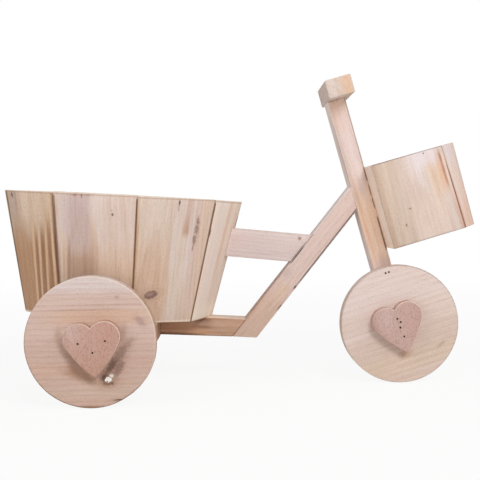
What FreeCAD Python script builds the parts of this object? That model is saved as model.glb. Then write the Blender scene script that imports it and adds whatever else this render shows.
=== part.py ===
import FreeCAD, Part
import math
import os
from FreeCAD import Placement, Rotation, Vector

# Driving sizes, in millimetres and degrees

# Wheels: three equal wooden discs
wheel_diameter = 125.0
wheel_thickness = 18.0
wheel_edge_ease = 1.2
wheelbase = 314.0
left_wheel_back = 4.0

# Hearts nailed over the wheel centres
heart_width = 53.8
heart_height = 52.8
heart_thickness = 12.0
heart_lobe_radius = 15.0
heart_side_bulge = 1.4
heart_tip_radius = 3.0
rear_heart_forward = 3.0
rear_heart_drop = 6.1
rear_heart_lean = 5.0
front_heart_back = 1.8
front_heart_drop = 4.1
front_heart_lean = 16.5

# Frame: sawn battens, all of one section but the slightly deeper brace
batten_width = 29.0
batten_depth = 19.6
brace_depth = 21.3
axle_board_width = 118.0
axle_board_length = 239.0
axle_board_thickness = 21.5
brace_angle = 51.1
brace_heel_forward = 162.4
upper_rail_height = 30.5
upper_rail_thickness = 20.0
upper_rail_top_at_brace = 157.4
upper_rail_slope = 5.7
post_lean = 15.2
post_forward = 1.4
post_tail = 30.0
post_above_axle = 248.1
handlebar_length = 96.0
handlebar_depth = 27.5
handlebar_height = 19.4
handlebar_forward = 5.5
handlebar_turn = -2.2

# Rear bucket: tapered tub of flat staves on a many-sided floor
frame_pitch = 3.5
bucket_forward = 14.1
bucket_bottom_height = 76.7
bucket_height = 125.6
bucket_rim_radius = 127.7
bucket_foot_radius = 101.0
bucket_staves = 9
bucket_turn = 11.2
stave_thickness = 9.0
bucket_floor_thickness = 12.0
hoop_thickness = 3.0
hoop_height = 18.0
hoop_below_rim = 1.5

# Front basket: flat back against the post, staves set wide end up and wide end down by turns
basket_low = 80.3
basket_height = 89.8
basket_half_back = 55.0
basket_reach = 93.5
basket_side_foot = 81.2
basket_side_rim = 73.6
basket_side_turn_in = 12.0
basket_front_foot_half = 32.0
basket_front_rim_half = 24.6
basket_floor_thickness = 10.0
basket_floor_clearance = 0.3
basket_hoop_height = 12.0

# Nails: large ones for wheels and frame, fine brads for the staves
nail_shank = 1.8
nail_head = 2.8
brad_shank = 1.1
brad_head = 1.7
head_thickness = 0.8
point_length = 2.0
point_share = 0.2
nail_sides = 8
rim_brad_below_rim = 5.0
rim_brad_shares = [0.53, 0.45, 0.5, 0.42, 0.56, 0.48, 0.52, 0.14, 0.36]
basket_brad_below_rim = 2.6
heart_nail_spread = 12.7
heart_nail_rise = 7.8
heart_nail_low = 2.0
wheel_nail_gap = 3.6
wheel_nail_up_post = 56.4
frame_nail_bite = 20.0
brad_edge_share = 0.22
front_heart_marks = [(-3.4, 8.0), (-0.8, 3.9), (-2.7, -1.7), (-1.3, -11.8)]


# Shared geometry


def meet(first, second):
    """Point where two lines of a flat drawing cross; a line is (point, direction)."""
    p, d = first
    q, e = second
    cross = d.x * e.y - d.y * e.x
    gap = q - p
    return p + d * ((gap.x * e.y - gap.y * e.x) / cross)


def moved_in(loop, distance):
    """Anticlockwise loop with each side moved inwards."""
    sides = []
    for i, start in enumerate(loop):
        along = loop[(i + 1) % len(loop)] - start
        along = along * (1.0 / along.Length)
        sides.append((start + Vector(-along.y, along.x, 0) * distance, along))
    return [meet(sides[i - 1], sides[i]) for i in range(len(loop))]


def between(low_loop, high_loop, share):
    """Loop at a share of the way from one loop to another."""
    return [a + (b - a) * share for a, b in zip(low_loop, high_loop)]


def raised(loop, height):
    return [Vector(p.x, p.y, height) for p in loop]


def flat_face(points):
    return Part.Face(Part.makePolygon(points + [points[0]]))


def block(low_loop, low, high_loop, high):
    """Solid with flat sides from a lower loop to an upper loop."""
    lower = raised(low_loop, low)
    upper = raised(high_loop, high)
    faces = [flat_face(lower), flat_face(upper)]
    for i in range(len(lower)):
        j = (i + 1) % len(lower)
        faces.append(flat_face([lower[i], lower[j], upper[j], upper[i]]))
    solid = Part.Solid(Part.Shell(faces))
    if solid.Volume < 0:
        solid.reverse()
    return solid


def side_slab(outline, width):
    """Side-view outline (x, z) drawn out across the tricycle, half each way."""
    points = [Vector(p.x, -width / 2, p.y) for p in outline]
    return flat_face(points).extrude(Vector(0, width, 0))


def placed(shape, placement):
    copy = shape.copy()
    copy.Placement = placement.multiply(copy.Placement)
    return copy


def nail_loop(diameter):
    """Anticlockwise outline of a nail's section."""
    turns = [2 * math.pi * i / nail_sides for i in range(nail_sides)]
    return [Vector(math.cos(a), math.sin(a), 0) * (diameter / 2) for a in turns]


def nail(at, towards, length, shank, head):
    """Flat-headed nail with a blunted point, its head flush where it goes in."""
    shank_loop = nail_loop(shank)
    shoulder = length - point_length
    parts = [
        block(shank_loop, head_thickness, shank_loop, shoulder),
        block(shank_loop, shoulder, nail_loop(shank * point_share), length),
    ]
    solid = block(nail_loop(head), 0, nail_loop(head), head_thickness)
    solid = solid.multiFuse(parts).removeSplitter().Solids[0]
    solid.Placement = Placement(at, Rotation(Vector(0, 0, 1), towards))
    return solid


pieces = {}
nails = {}


def drive(group, wood, items):
    """Add nails to a group and bore their seats in the wood they hold."""
    nails.setdefault(group, []).extend(items)
    tool = Part.makeCompound(items)
    for name in wood:
        pieces[name] = pieces[name].cut(tool)


# Frames of reference: the pitched rear frame and the leaning post

wheel_radius = wheel_diameter / 2
rear_frame = Placement(
    Vector(bucket_forward, 0, bucket_bottom_height), Rotation(Vector(0, 1, 0), frame_pitch)
)
post_frame = Placement(Vector(wheelbase, 0, wheel_radius), Rotation(Vector(0, 1, 0), -post_lean))
across = Vector(0, 1, 0)


def side_point(placement, along, up):
    p = placement.multVec(Vector(along, 0, up))
    return Vector(p.x, p.z, 0)


def side_direction(placement, along, up):
    v = placement.Rotation.multVec(Vector(along, 0, up))
    return Vector(v.x, v.z, 0)


# Axle board: the cross board under the bucket that carries the rear wheels on its ends

axle_in_frame = rear_frame.inverse().multVec(Vector(0, 0, wheel_radius)).x
board_front = axle_in_frame + axle_board_width / 2
board_back = axle_in_frame - axle_board_width / 2
board_outline = [
    side_point(rear_frame, board_back, 0),
    side_point(rear_frame, board_back, -axle_board_thickness),
    side_point(rear_frame, board_front, -axle_board_thickness),
    side_point(rear_frame, board_front, 0),
]
pieces["axle_board"] = side_slab(board_outline, axle_board_length)

# Steering post, from behind the front wheel up to the handlebar

post_back = post_forward - batten_depth / 2
post_front = post_forward + batten_depth / 2
post_outline = [
    side_point(post_frame, post_back, -post_tail),
    side_point(post_frame, post_front, -post_tail),
    side_point(post_frame, post_front, post_above_axle),
    side_point(post_frame, post_back, post_above_axle),
]
pieces["steering_post"] = side_slab(post_outline, batten_width)

# Diagonal brace, its foot cut flush with the underside of the lower rail

rail_top = (side_point(rear_frame, 0, 0), side_direction(rear_frame, 1, 0))
rail_under = (side_point(rear_frame, 0, -batten_depth), side_direction(rear_frame, 1, 0))
post_rear_face = (side_point(post_frame, post_back, 0), side_direction(post_frame, 0, 1))
upright_at_heel = (Vector(brace_heel_forward, 0, 0), Vector(0, 1, 0))
brace_along = Vector(math.cos(math.radians(brace_angle)), math.sin(math.radians(brace_angle)), 0)
brace_normal = Vector(-brace_along.y, brace_along.x, 0)
brace_heel = meet(rail_under, upright_at_heel)
brace_lower_face = (brace_heel, brace_along)
brace_upper_face = (brace_heel + brace_normal * brace_depth, brace_along)
brace_outline = [
    brace_heel,
    meet(brace_lower_face, post_rear_face),
    meet(brace_upper_face, post_rear_face),
    meet(brace_upper_face, rail_under),
]
pieces["diagonal_brace"] = side_slab(brace_outline, batten_width)

# Lower rail, from the axle board forward to the brace

board_front_face = (side_point(rear_frame, board_front, 0), side_direction(rear_frame, 0, 1))
rail_outline = [
    meet(rail_under, board_front_face),
    meet(rail_under, brace_upper_face),
    meet(rail_top, brace_upper_face),
    meet(rail_top, board_front_face),
]
pieces["lower_rail"] = side_slab(rail_outline, batten_width)

# Bucket: mitred staves around a floor, with a thin hoop inside the rim


def bucket_loop(radius):
    step = 2 * math.pi / bucket_staves
    loop = []
    for i in range(bucket_staves):
        turn = math.radians(bucket_turn) + i * step
        loop.append(Vector(radius * math.sin(turn), -radius * math.cos(turn), 0))
    return loop


def stave_ring(foot, rim, height, thickness):
    """Mitred flat staves, one per side of the loop."""
    foot_in = moved_in(foot, thickness)
    rim_in = moved_in(rim, thickness)
    staves = []
    for i in range(len(foot)):
        j = (i + 1) % len(foot)
        low = [foot[i], foot[j], foot_in[j], foot_in[i]]
        high = [rim[i], rim[j], rim_in[j], rim_in[i]]
        staves.append(block(low, 0, high, height))
    return staves, foot_in, rim_in


def inner_hoop(foot_in, rim_in, height, low, high):
    """Thin strip bent round the inside of the staves, just under the rim."""
    outer_low = between(foot_in, rim_in, low / height)
    outer_high = between(foot_in, rim_in, high / height)
    outer = block(outer_low, low, outer_high, high)
    inner_low = moved_in(outer_low, hoop_thickness)
    inner_high = moved_in(outer_high, hoop_thickness)
    return outer.cut(block(inner_low, low, inner_high, high))


def stave_brads(foot, rim, height, level, shares, length, placement):
    """One brad square to each chosen stave at a level, a share of the way along its width."""
    loop = raised(between(foot, rim, level / height), level)
    low = raised(foot, 0)
    items = []
    for i, share in shares:
        along = loop[(i + 1) % len(loop)] - loop[i]
        rising = loop[i] - low[i]
        inwards = rising.cross(along)
        inwards = placement.Rotation.multVec(inwards * (1.0 / inwards.Length))
        at = placement.multVec(loop[i] + along * share)
        items.append(nail(at, inwards, length, brad_shank, brad_head))
    return items


bucket_foot = bucket_loop(bucket_foot_radius)
bucket_rim = bucket_loop(bucket_rim_radius)
staves, bucket_foot_in, bucket_rim_in = stave_ring(
    bucket_foot, bucket_rim, bucket_height, stave_thickness
)
stave_names = []
for i, stave in enumerate(staves):
    stave_names.append("bucket_stave_%d" % (i + 1))
    pieces[stave_names[i]] = placed(stave, rear_frame)

bucket_floor_top = between(bucket_foot_in, bucket_rim_in, bucket_floor_thickness / bucket_height)
bucket_floor = block(bucket_foot_in, 0, bucket_floor_top, bucket_floor_thickness)
pieces["bucket_floor"] = placed(bucket_floor, rear_frame)
hoop_high = bucket_height - hoop_below_rim
bucket_hoop = inner_hoop(
    bucket_foot_in, bucket_rim_in, bucket_height, hoop_high - hoop_height, hoop_high
)
pieces["bucket_rim_hoop"] = placed(bucket_hoop, rear_frame)

# Upper rail, its rear end scribed to the bucket and its front end cut to the brace

slope = math.radians(-upper_rail_slope)
upper_along = Vector(math.cos(slope), math.sin(slope), 0)
upper_down = Vector(upper_along.y, -upper_along.x, 0)
level_at_brace = (Vector(0, upper_rail_top_at_brace, 0), Vector(1, 0, 0))
upper_corner = meet(brace_upper_face, level_at_brace)
upper_top = (upper_corner, upper_along)
upper_under = (upper_corner + upper_down * upper_rail_height, upper_along)
bucket_axis = (side_point(rear_frame, 0, 0), side_direction(rear_frame, 0, 1))
upper_outline = [
    meet(upper_under, bucket_axis),
    meet(upper_under, brace_upper_face),
    upper_corner,
    meet(upper_top, bucket_axis),
]
bucket_envelope = placed(block(bucket_foot, 0, bucket_rim, bucket_height), rear_frame)
pieces["upper_rail"] = side_slab(upper_outline, upper_rail_thickness).cut(bucket_envelope)

# Handlebar: a short block across the top of the post

handlebar_seat = Vector(handlebar_forward, 0, post_above_axle)
handlebar_frame = post_frame.multiply(
    Placement(handlebar_seat, Rotation(Vector(0, 0, 1), handlebar_turn))
)
handlebar_corner = Vector(-handlebar_depth / 2, -handlebar_length / 2, 0)
handlebar = Part.makeBox(handlebar_depth, handlebar_length, handlebar_height, handlebar_corner)
pieces["handlebar"] = placed(handlebar, handlebar_frame)

# Basket: back board, two side staves, two corner staves, a front stave and a floor

basket_frame = post_frame.multiply(Placement(Vector(post_front, 0, basket_low), Rotation()))
side_slant = basket_side_turn_in / basket_side_foot


def basket_loop(side_reach, front_reach, front_half):
    half_side = basket_half_back - side_reach * side_slant
    right = [
        Vector(0, -basket_half_back, 0),
        Vector(side_reach, -half_side, 0),
        Vector(front_reach, -front_half, 0),
    ]
    left = [Vector(p.x, -p.y, 0) for p in reversed(right)]
    return right + left


def corner_reach(foot_loop, side_reach, front_half):
    """Front reach at the rim that keeps the corner stave flat."""
    run = foot_loop[2] - foot_loop[1]
    half_side = basket_half_back - side_reach * side_slant
    return side_reach + run.x * (half_side - front_half) / run.y


basket_foot = basket_loop(basket_side_foot, basket_reach, basket_front_foot_half)
basket_rim_reach = corner_reach(basket_foot, basket_side_rim, basket_front_rim_half)
basket_rim = basket_loop(basket_side_rim, basket_rim_reach, basket_front_rim_half)
basket_walls, basket_foot_in, basket_rim_in = stave_ring(
    basket_foot, basket_rim, basket_height, stave_thickness
)
basket_names = [
    "basket_side_right",
    "basket_corner_right",
    "basket_front",
    "basket_corner_left",
    "basket_side_left",
    "basket_back",
]
for name, wall in zip(basket_names, basket_walls):
    pieces[name] = placed(wall, basket_frame)

basket_floor_top = between(basket_foot_in, basket_rim_in, basket_floor_thickness / basket_height)
basket_floor = block(
    moved_in(basket_foot_in, basket_floor_clearance),
    0,
    moved_in(basket_floor_top, basket_floor_clearance),
    basket_floor_thickness,
)
pieces["basket_floor"] = placed(basket_floor, basket_frame)
basket_hoop_high = basket_height - hoop_below_rim
basket_hoop = inner_hoop(
    basket_foot_in,
    basket_rim_in,
    basket_height,
    basket_hoop_high - basket_hoop_height,
    basket_hoop_high,
)
pieces["basket_rim_hoop"] = placed(basket_hoop, basket_frame)

# Wheels and hearts


def wheel(centre):
    """Disc with eased edges; the centre lies on its right-hand face, and it grows to the left."""
    ease = wheel_edge_ease
    profile = [
        Vector(0, 0, 0),
        Vector(wheel_radius - ease, 0, 0),
        Vector(wheel_radius, ease, 0),
        Vector(wheel_radius, wheel_thickness - ease, 0),
        Vector(wheel_radius - ease, wheel_thickness, 0),
        Vector(0, wheel_thickness, 0),
    ]
    disc = flat_face(profile).revolve(Vector(0, 0, 0), across, 360)
    disc.translate(centre)
    return disc


def heart(centre, lean):
    """Heart cut from board; the centre lies on its right-hand face, and it grows to the left."""
    spread = heart_width / 2 - heart_lobe_radius
    lobe_up = heart_height / 2 - heart_lobe_radius
    notch_up = lobe_up + math.sqrt(heart_lobe_radius**2 - spread**2)
    tip = Vector(0, 0, -heart_height / 2)
    to_lobe = math.hypot(spread, lobe_up - tip.z)
    flank = math.atan2(spread, lobe_up - tip.z) + math.asin(heart_lobe_radius / to_lobe)

    def lobe(side, angle):
        x = spread + heart_lobe_radius * math.cos(angle)
        return Vector(side * x, 0, lobe_up + heart_lobe_radius * math.sin(angle))

    edges = []
    tip_ends = []
    for side in (1, -1):
        notch = Vector(0, 0, notch_up)
        widest = lobe(side, -flank)
        edges.append(Part.Arc(notch, lobe(side, math.pi / 3), widest).toShape())
        bulge = Vector(side * math.cos(flank), 0, -math.sin(flank)) * heart_side_bulge
        sweep = Part.Arc(widest, (widest + tip) * 0.5 + bulge, tip).toShape().Curve
        reach = sweep.Radius - heart_tip_radius
        tip_centre = Vector(0, 0, sweep.Center.z - math.sqrt(reach**2 - sweep.Center.x**2))
        tip_end = tip_centre + (tip_centre - sweep.Center) * (heart_tip_radius / reach)
        halfway = (widest + tip_end) * 0.5 - sweep.Center
        halfway = sweep.Center + halfway * (sweep.Radius / halfway.Length)
        edges.append(Part.Arc(widest, halfway, tip_end).toShape())
        tip_ends.append(tip_end)
    lowest = tip_centre - Vector(0, 0, heart_tip_radius)
    edges.append(Part.Arc(tip_ends[0], lowest, tip_ends[1]).toShape())
    outline = Part.Wire(Part.__sortEdges__(edges))
    solid = Part.Face(outline).extrude(across * heart_thickness)
    solid.Placement = Placement(centre, Rotation(across, -lean))
    return solid


right_face = -axle_board_length / 2 - wheel_thickness
left_face = axle_board_length / 2
front_face = -batten_width / 2 - wheel_thickness
rear_heart_x = rear_heart_forward
rear_heart_z = wheel_radius - rear_heart_drop
front_heart_x = wheelbase - front_heart_back
front_heart_z = wheel_radius - front_heart_drop

pieces["rear_wheel_right"] = wheel(Vector(0, right_face, wheel_radius))
pieces["rear_wheel_left"] = wheel(Vector(-left_wheel_back, left_face, wheel_radius))
pieces["front_wheel"] = wheel(Vector(wheelbase, front_face, wheel_radius))
heart_right_y = right_face - heart_thickness
heart_left_y = left_face + wheel_thickness
heart_front_y = front_face - heart_thickness
pieces["rear_heart_right"] = heart(
    Vector(rear_heart_x, heart_right_y, rear_heart_z), rear_heart_lean
)
pieces["rear_heart_left"] = heart(
    Vector(rear_heart_x - left_wheel_back, heart_left_y, rear_heart_z), rear_heart_lean
)
pieces["front_heart"] = heart(
    Vector(front_heart_x, heart_front_y, front_heart_z), front_heart_lean
)

# Nails through the hearts and wheels

through = heart_thickness + wheel_thickness
leaning = Rotation(across, -rear_heart_lean)
heart_marks = [
    (heart_nail_spread, heart_nail_rise, through + frame_nail_bite),
    (-heart_nail_spread, heart_nail_rise, through + frame_nail_bite),
    (0, -heart_nail_low, through - wheel_thickness / 3),
]
right_spot = Vector(rear_heart_x, heart_right_y, rear_heart_z)
left_spot = Vector(rear_heart_x - left_wheel_back, heart_left_y + heart_thickness, rear_heart_z)
for side, spot, way in (("right", right_spot, 1), ("left", left_spot, -1)):
    items = []
    for along, up, length in heart_marks:
        at = spot + leaning.multVec(Vector(along, 0, up))
        items.append(nail(at, across * way, length, nail_shank, nail_head))
    wood = ["rear_heart_" + side, "rear_wheel_" + side, "axle_board"]
    drive("rear_heart_nails_" + side, wood, items)

items = []
for along, up in front_heart_marks:
    at = post_frame.multVec(Vector(along, heart_front_y, up))
    items.append(nail(at, across, through + frame_nail_bite, nail_shank, nail_head))
drive("front_heart_nails", ["front_heart", "front_wheel", "steering_post"], items)

items = []
for along in (-wheel_nail_gap / 2, wheel_nail_gap / 2):
    at = post_frame.multVec(Vector(post_forward + along, front_face, wheel_nail_up_post))
    items.append(nail(at, across, wheel_thickness + frame_nail_bite, nail_shank, nail_head))
drive("front_wheel_nails", ["front_wheel", "steering_post"], items)

# Brads through the staves into the rim hoops and the floors

brad_length = stave_thickness + hoop_thickness
one_each = [(i, rim_brad_shares[i % len(rim_brad_shares)]) for i in range(bucket_staves)]
items = stave_brads(
    bucket_foot,
    bucket_rim,
    bucket_height,
    bucket_height - rim_brad_below_rim,
    one_each,
    brad_length,
    rear_frame,
)
drive("bucket_rim_brads", stave_names + ["bucket_rim_hoop"], items)
edge_shares = (brad_edge_share, 1 - brad_edge_share)
pairs = [(i, share) for i in range(bucket_staves) for share in edge_shares]
items = stave_brads(
    bucket_foot,
    bucket_rim,
    bucket_height,
    bucket_floor_thickness / 2,
    pairs,
    2 * stave_thickness,
    rear_frame,
)
drive("bucket_floor_brads", stave_names + ["bucket_floor"], items)

basket_rim_shares = {
    "basket_side_right": [1 - brad_edge_share],
    "basket_front": [0.5],
    "basket_side_left": [brad_edge_share],
    "basket_back": edge_shares,
}
rim_marks = []
floor_marks = []
for i, name in enumerate(basket_names):
    rim_marks += [(i, share) for share in basket_rim_shares.get(name, [])]
    narrow = name in ("basket_corner_right", "basket_corner_left", "basket_front")
    floor_marks += [(i, share) for share in ([0.5] if narrow else edge_shares)]
items = stave_brads(
    basket_foot,
    basket_rim,
    basket_height,
    basket_height - basket_brad_below_rim,
    rim_marks,
    brad_length,
    basket_frame,
)
drive("basket_rim_brads", basket_names + ["basket_rim_hoop"], items)
items = stave_brads(
    basket_foot,
    basket_rim,
    basket_height,
    basket_floor_thickness / 2,
    floor_marks,
    2 * stave_thickness,
    basket_frame,
)
drive("basket_floor_brads", basket_names + ["basket_floor"], items)

# Nails down through the bucket floor into the axle board and the lower rail

down = rear_frame.Rotation.multVec(Vector(0, 0, -1))
floor_grip = bucket_floor_thickness + batten_depth * 2 / 3
board_spots = [
    (axle_in_frame + fore * axle_board_width / 4, side * bucket_foot_radius / 3)
    for fore in (-1, 1)
    for side in (-1, 1)
]
rail_reach = bucket_foot_radius * 0.85 - board_front
rail_spots = [(board_front + rail_reach * share, 0) for share in (0.3, 0.7)]
items = []
for along, aside in board_spots + rail_spots:
    at = rear_frame.multVec(Vector(along, aside, bucket_floor_thickness))
    items.append(nail(at, down, floor_grip, nail_shank, nail_head))
drive("floor_nails", ["bucket_floor", "axle_board", "lower_rail"], items)

# Nails of the frame joints, the handlebar and the basket back


def side_nail(at, towards, aside, length):
    start = Vector(at.x, aside, at.y)
    return nail(start, Vector(towards.x, 0, towards.y), length, nail_shank, nail_head)


quarter = batten_width / 4
rail_joint = (meet(rail_under, brace_upper_face) + meet(rail_top, brace_upper_face)) * 0.5
upper_joint = (upper_corner + meet(upper_under, brace_upper_face)) * 0.5
slanted = brace_normal + side_direction(rear_frame, -1, 0)
slanted = slanted * (1.0 / slanted.Length)
items = []
for line in ((rail_joint, slanted), (upper_joint, brace_normal)):
    start = meet(line, brace_lower_face)
    length = (line[0] - start).Length + frame_nail_bite
    items += [side_nail(start, line[1], aside, length) for aside in (-quarter, quarter)]
drive("brace_nails", ["diagonal_brace", "lower_rail", "upper_rail"], items)

post_joint = (meet(brace_lower_face, post_rear_face) + meet(brace_upper_face, post_rear_face)) * 0.5
backwards = side_direction(post_frame, -1, 0)
start = post_joint - backwards * batten_depth
length = batten_depth + frame_nail_bite * 3 / 4
items = [side_nail(start, backwards, aside, length) for aside in (-quarter, quarter)]
drive("post_nails", ["steering_post", "diagonal_brace"], items)

down_post = side_direction(post_frame, 0, -1)
start = side_point(post_frame, post_forward, post_above_axle + handlebar_height)
items = [
    side_nail(start, down_post, s, handlebar_height + frame_nail_bite) for s in (-quarter, quarter)
]
drive("handlebar_nails", ["handlebar", "steering_post"], items)

items = []
for share in (0.3, 0.8):
    start = side_point(basket_frame, stave_thickness, basket_height * share)
    items.append(side_nail(start, backwards, 0, stave_thickness + batten_depth * 2 / 3))
drive("basket_back_nails", ["basket_back", "steering_post"], items)

# Stand the tricycle on the ground with its middle over the origin, and write each piece

for group, items in nails.items():
    pieces[group] = Part.makeCompound(items)
whole = Part.makeCompound(list(pieces.values())).BoundBox
shift = Vector(-(whole.XMin + whole.XMax) / 2, 0, 0)

os.makedirs("parts", exist_ok=True)
for name, shape in pieces.items():
    if name not in nails:
        shape = shape.Solids[0]
    moved = shape.copy()
    moved.translate(shift)
    moved.exportStep("parts/%s.step" % name)
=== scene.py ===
import math

import bmesh
import bpy
from mathutils import Matrix, Vector


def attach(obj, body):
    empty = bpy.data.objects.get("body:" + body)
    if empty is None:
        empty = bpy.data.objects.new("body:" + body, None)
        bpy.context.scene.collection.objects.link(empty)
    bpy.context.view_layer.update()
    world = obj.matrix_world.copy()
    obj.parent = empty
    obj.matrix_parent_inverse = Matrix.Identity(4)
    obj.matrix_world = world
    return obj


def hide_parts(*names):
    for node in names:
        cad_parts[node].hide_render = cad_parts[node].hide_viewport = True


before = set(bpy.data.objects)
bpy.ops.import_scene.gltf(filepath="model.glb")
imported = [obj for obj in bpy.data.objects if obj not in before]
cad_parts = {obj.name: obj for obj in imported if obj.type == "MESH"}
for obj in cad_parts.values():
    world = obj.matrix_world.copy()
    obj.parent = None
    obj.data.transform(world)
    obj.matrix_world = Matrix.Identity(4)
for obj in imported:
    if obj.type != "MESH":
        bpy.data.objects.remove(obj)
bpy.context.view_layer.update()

# Studio: a pale floor that fades to white under an even white sky, a soft lamp above the camera to
# its right and a wide weaker one at each side. The camera stands a metre away, level with the bucket.

scene = bpy.context.scene
scene.view_settings.view_transform = "Standard"


def add(tree, kind, inputs=None, **settings):
    """New node with its settings and inputs; an input is a value or another node's output."""
    made = tree.nodes.new(kind)
    for key, value in settings.items():
        setattr(made, key, value)
    for where, value in (inputs or {}).items():
        if isinstance(value, bpy.types.NodeSocket):
            tree.links.new(value, made.inputs[where])
        else:
            made.inputs[where].default_value = value
    return made


def calc(tree, operation, first, second=0.0):
    return add(tree, "ShaderNodeMath", {0: first, 1: second}, operation=operation).outputs[0]


def plus(tree, *terms):
    total = terms[0]
    for term in terms[1:]:
        total = calc(tree, "ADD", total, term)
    return total


def minus(tree, first, second):
    return calc(tree, "SUBTRACT", first, second)


def times(tree, *factors):
    product = factors[0]
    for factor in factors[1:]:
        product = calc(tree, "MULTIPLY", product, factor)
    return product


def seen_directly(tree):
    """One for rays that show the background itself, to the eye, in gloss or through glass."""
    path = add(tree, "ShaderNodeLightPath").outputs
    glossy = calc(tree, "MAXIMUM", path["Is Camera Ray"], path["Is Glossy Ray"])
    return calc(tree, "MAXIMUM", glossy, path["Is Transmission Ray"])


sky = bpy.data.worlds.new("studio_sky")
scene.world = sky
sky.use_nodes = True
sky.node_tree.nodes.clear()
lit = add(sky.node_tree, "ShaderNodeBackground", {"Color": (0.97, 0.985, 1.0, 1), "Strength": 0.38})
white = add(sky.node_tree, "ShaderNodeBackground", {"Color": (1, 1, 1, 1), "Strength": 1.0})
chosen = add(
    sky.node_tree,
    "ShaderNodeMixShader",
    {0: seen_directly(sky.node_tree), 1: lit.outputs[0], 2: white.outputs[0]},
)
add(sky.node_tree, "ShaderNodeOutputWorld", {"Surface": chosen.outputs[0]})

floor_reach = 9.0
floor_drop = 0.0002
studio_mesh = bpy.data.meshes.new("studio_floor")
floor_corners = [(-1, -1), (1, -1), (1, 1), (-1, 1)]
studio_mesh.from_pydata(
    [(x * floor_reach, y * floor_reach, -floor_drop) for x, y in floor_corners], [], [(0, 1, 2, 3)]
)
floor = bpy.data.objects.new("studio_floor", studio_mesh)
scene.collection.objects.link(floor)
floor_paint = bpy.data.materials.new("pale_floor")
floor_paint.use_nodes = True
tree = floor_paint.node_tree
tree.nodes.clear()
matt = add(tree, "ShaderNodeBsdfDiffuse", {"Color": (0.88, 0.87, 0.86, 1)})
glow = add(tree, "ShaderNodeEmission", {"Color": (1, 1, 1, 1), "Strength": 1.0})
spot = add(tree, "ShaderNodeTexCoord").outputs["Object"]
distance = add(tree, "ShaderNodeVectorMath", {0: spot}, operation="LENGTH").outputs["Value"]
fade_start, fade_end, white_nearby = 0.35, 1.6, 0.91
fading = {0: distance, 1: fade_start, 2: fade_end, 3: white_nearby, 4: 1.0}
whiteness = add(tree, "ShaderNodeMapRange", fading).outputs[0]
share = times(tree, seen_directly(tree), whiteness)
floor_look = add(tree, "ShaderNodeMixShader", {0: share, 1: matt.outputs[0], 2: glow.outputs[0]})
add(tree, "ShaderNodeOutputMaterial", {"Surface": floor_look.outputs[0]})
studio_mesh.materials.append(floor_paint)

lamp_aim = Vector((0.0, 0.0, 0.14))
lamp_colour = (0.995, 0.985, 0.97)
for title, place, size, watts in (
    ("key_softbox", (0.46, -1.50, 1.05), 0.55, 13.0),
    ("left_softbox", (-1.50, -1.00, 0.70), 1.2, 9.0),
    ("right_softbox", (1.50, -0.75, 0.70), 1.0, 4.0),
):
    lamp_data = bpy.data.lights.new(title, "AREA")
    lamp_data.shape = "SQUARE"
    lamp_data.size = size
    lamp_data.energy = watts
    lamp_data.color = lamp_colour
    lamp = bpy.data.objects.new(title, lamp_data)
    scene.collection.objects.link(lamp)
    lamp.location = place
    lamp.rotation_euler = (lamp_aim - lamp.location).to_track_quat("-Z", "Y").to_euler()

camera_place = (-0.03372, -1.02698, 0.18474)
camera_angles = (1.80, 1.78, 0.68)
camera_data = bpy.data.cameras.new("camera")
camera_data.lens = 70.964
camera_data.sensor_width = 36.0
camera_data.clip_start = 0.05
camera = bpy.data.objects.new("camera", camera_data)
scene.collection.objects.link(camera)
yaw, pitch, roll = (math.radians(angle) for angle in camera_angles)
ahead = Vector((math.sin(yaw) * math.cos(pitch), math.cos(yaw) * math.cos(pitch), -math.sin(pitch)))
rightward = Vector((math.cos(yaw), -math.sin(yaw), 0.0))
level = Matrix((rightward, rightward.cross(ahead), -ahead)).transposed()
turned = level @ Matrix.Rotation(-roll, 3, "Z")
camera.matrix_world = Matrix.Translation(camera_place) @ turned.to_4x4()
scene.camera = camera

# Axle board and lower rail: the carriage under the bucket. Sawn pine, unplaned and left raw;
# the rail butts against the cross board's front edge and runs forward to the brace.

bucket_base = (-0.13344, 0.0, 0.0767)
carriage_pitch = math.radians(3.5)
rear_frame = Matrix.Translation(bucket_base) @ Matrix.Rotation(carriage_pitch, 4, "Y")
board_length = 0.239
board_width = 0.118
board_depth = 0.0215
board_back = -0.07221
board_front = board_back + board_width
batten_width = 0.029
rail_depth = 0.0196
rail_rear_depth = 0.02074
brace_rise = math.radians(51.1)
brace_depth = 0.0213
brace_heel = 0.14978
rail_end = brace_heel - brace_depth / math.sin(brace_rise + carriage_pitch)
rail_top_end = rail_end + rail_depth / math.tan(brace_rise + carriage_pitch)


def tone(red, green, blue):
    """Colour as it looks on a screen, 0 to 255, for a shader socket."""

    def linear(value):
        value = value / 255
        return value / 12.92 if value < 0.04045 else ((value + 0.055) / 1.055) ** 2.4

    return (linear(red), linear(green), linear(blue), 1.0)


def smooth(tree, value, low, high, start=0.0, stop=1.0):
    node = add(
        tree,
        "ShaderNodeMapRange",
        {0: value, 1: low, 2: high, 3: start, 4: stop},
        interpolation_type="SMOOTHSTEP",
    )
    return node.outputs[0]


def mix(tree, share, first, second, blend="MIX"):
    node = add(
        tree, "ShaderNodeMix", {0: share, 6: first, 7: second}, data_type="RGBA", blend_type=blend
    )
    return node.outputs[2]


def vector(tree, operation, first, second=(0, 0, 0), out=0):
    node = add(tree, "ShaderNodeVectorMath", {0: first, 1: second}, operation=operation)
    return node.outputs[out]


def group_of(name, inputs, outputs, kind="ShaderNodeTree"):
    """Empty node group with its named sockets, and its two end nodes."""
    group = bpy.data.node_groups.new(name, kind)
    for way, sockets in (("INPUT", inputs), ("OUTPUT", outputs)):
        for title, socket in sockets.items():
            group.interface.new_socket(title, in_out=way, socket_type="NodeSocket" + socket)
    return group, group.nodes.new("NodeGroupInput").outputs, group.nodes.new("NodeGroupOutput").inputs


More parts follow.
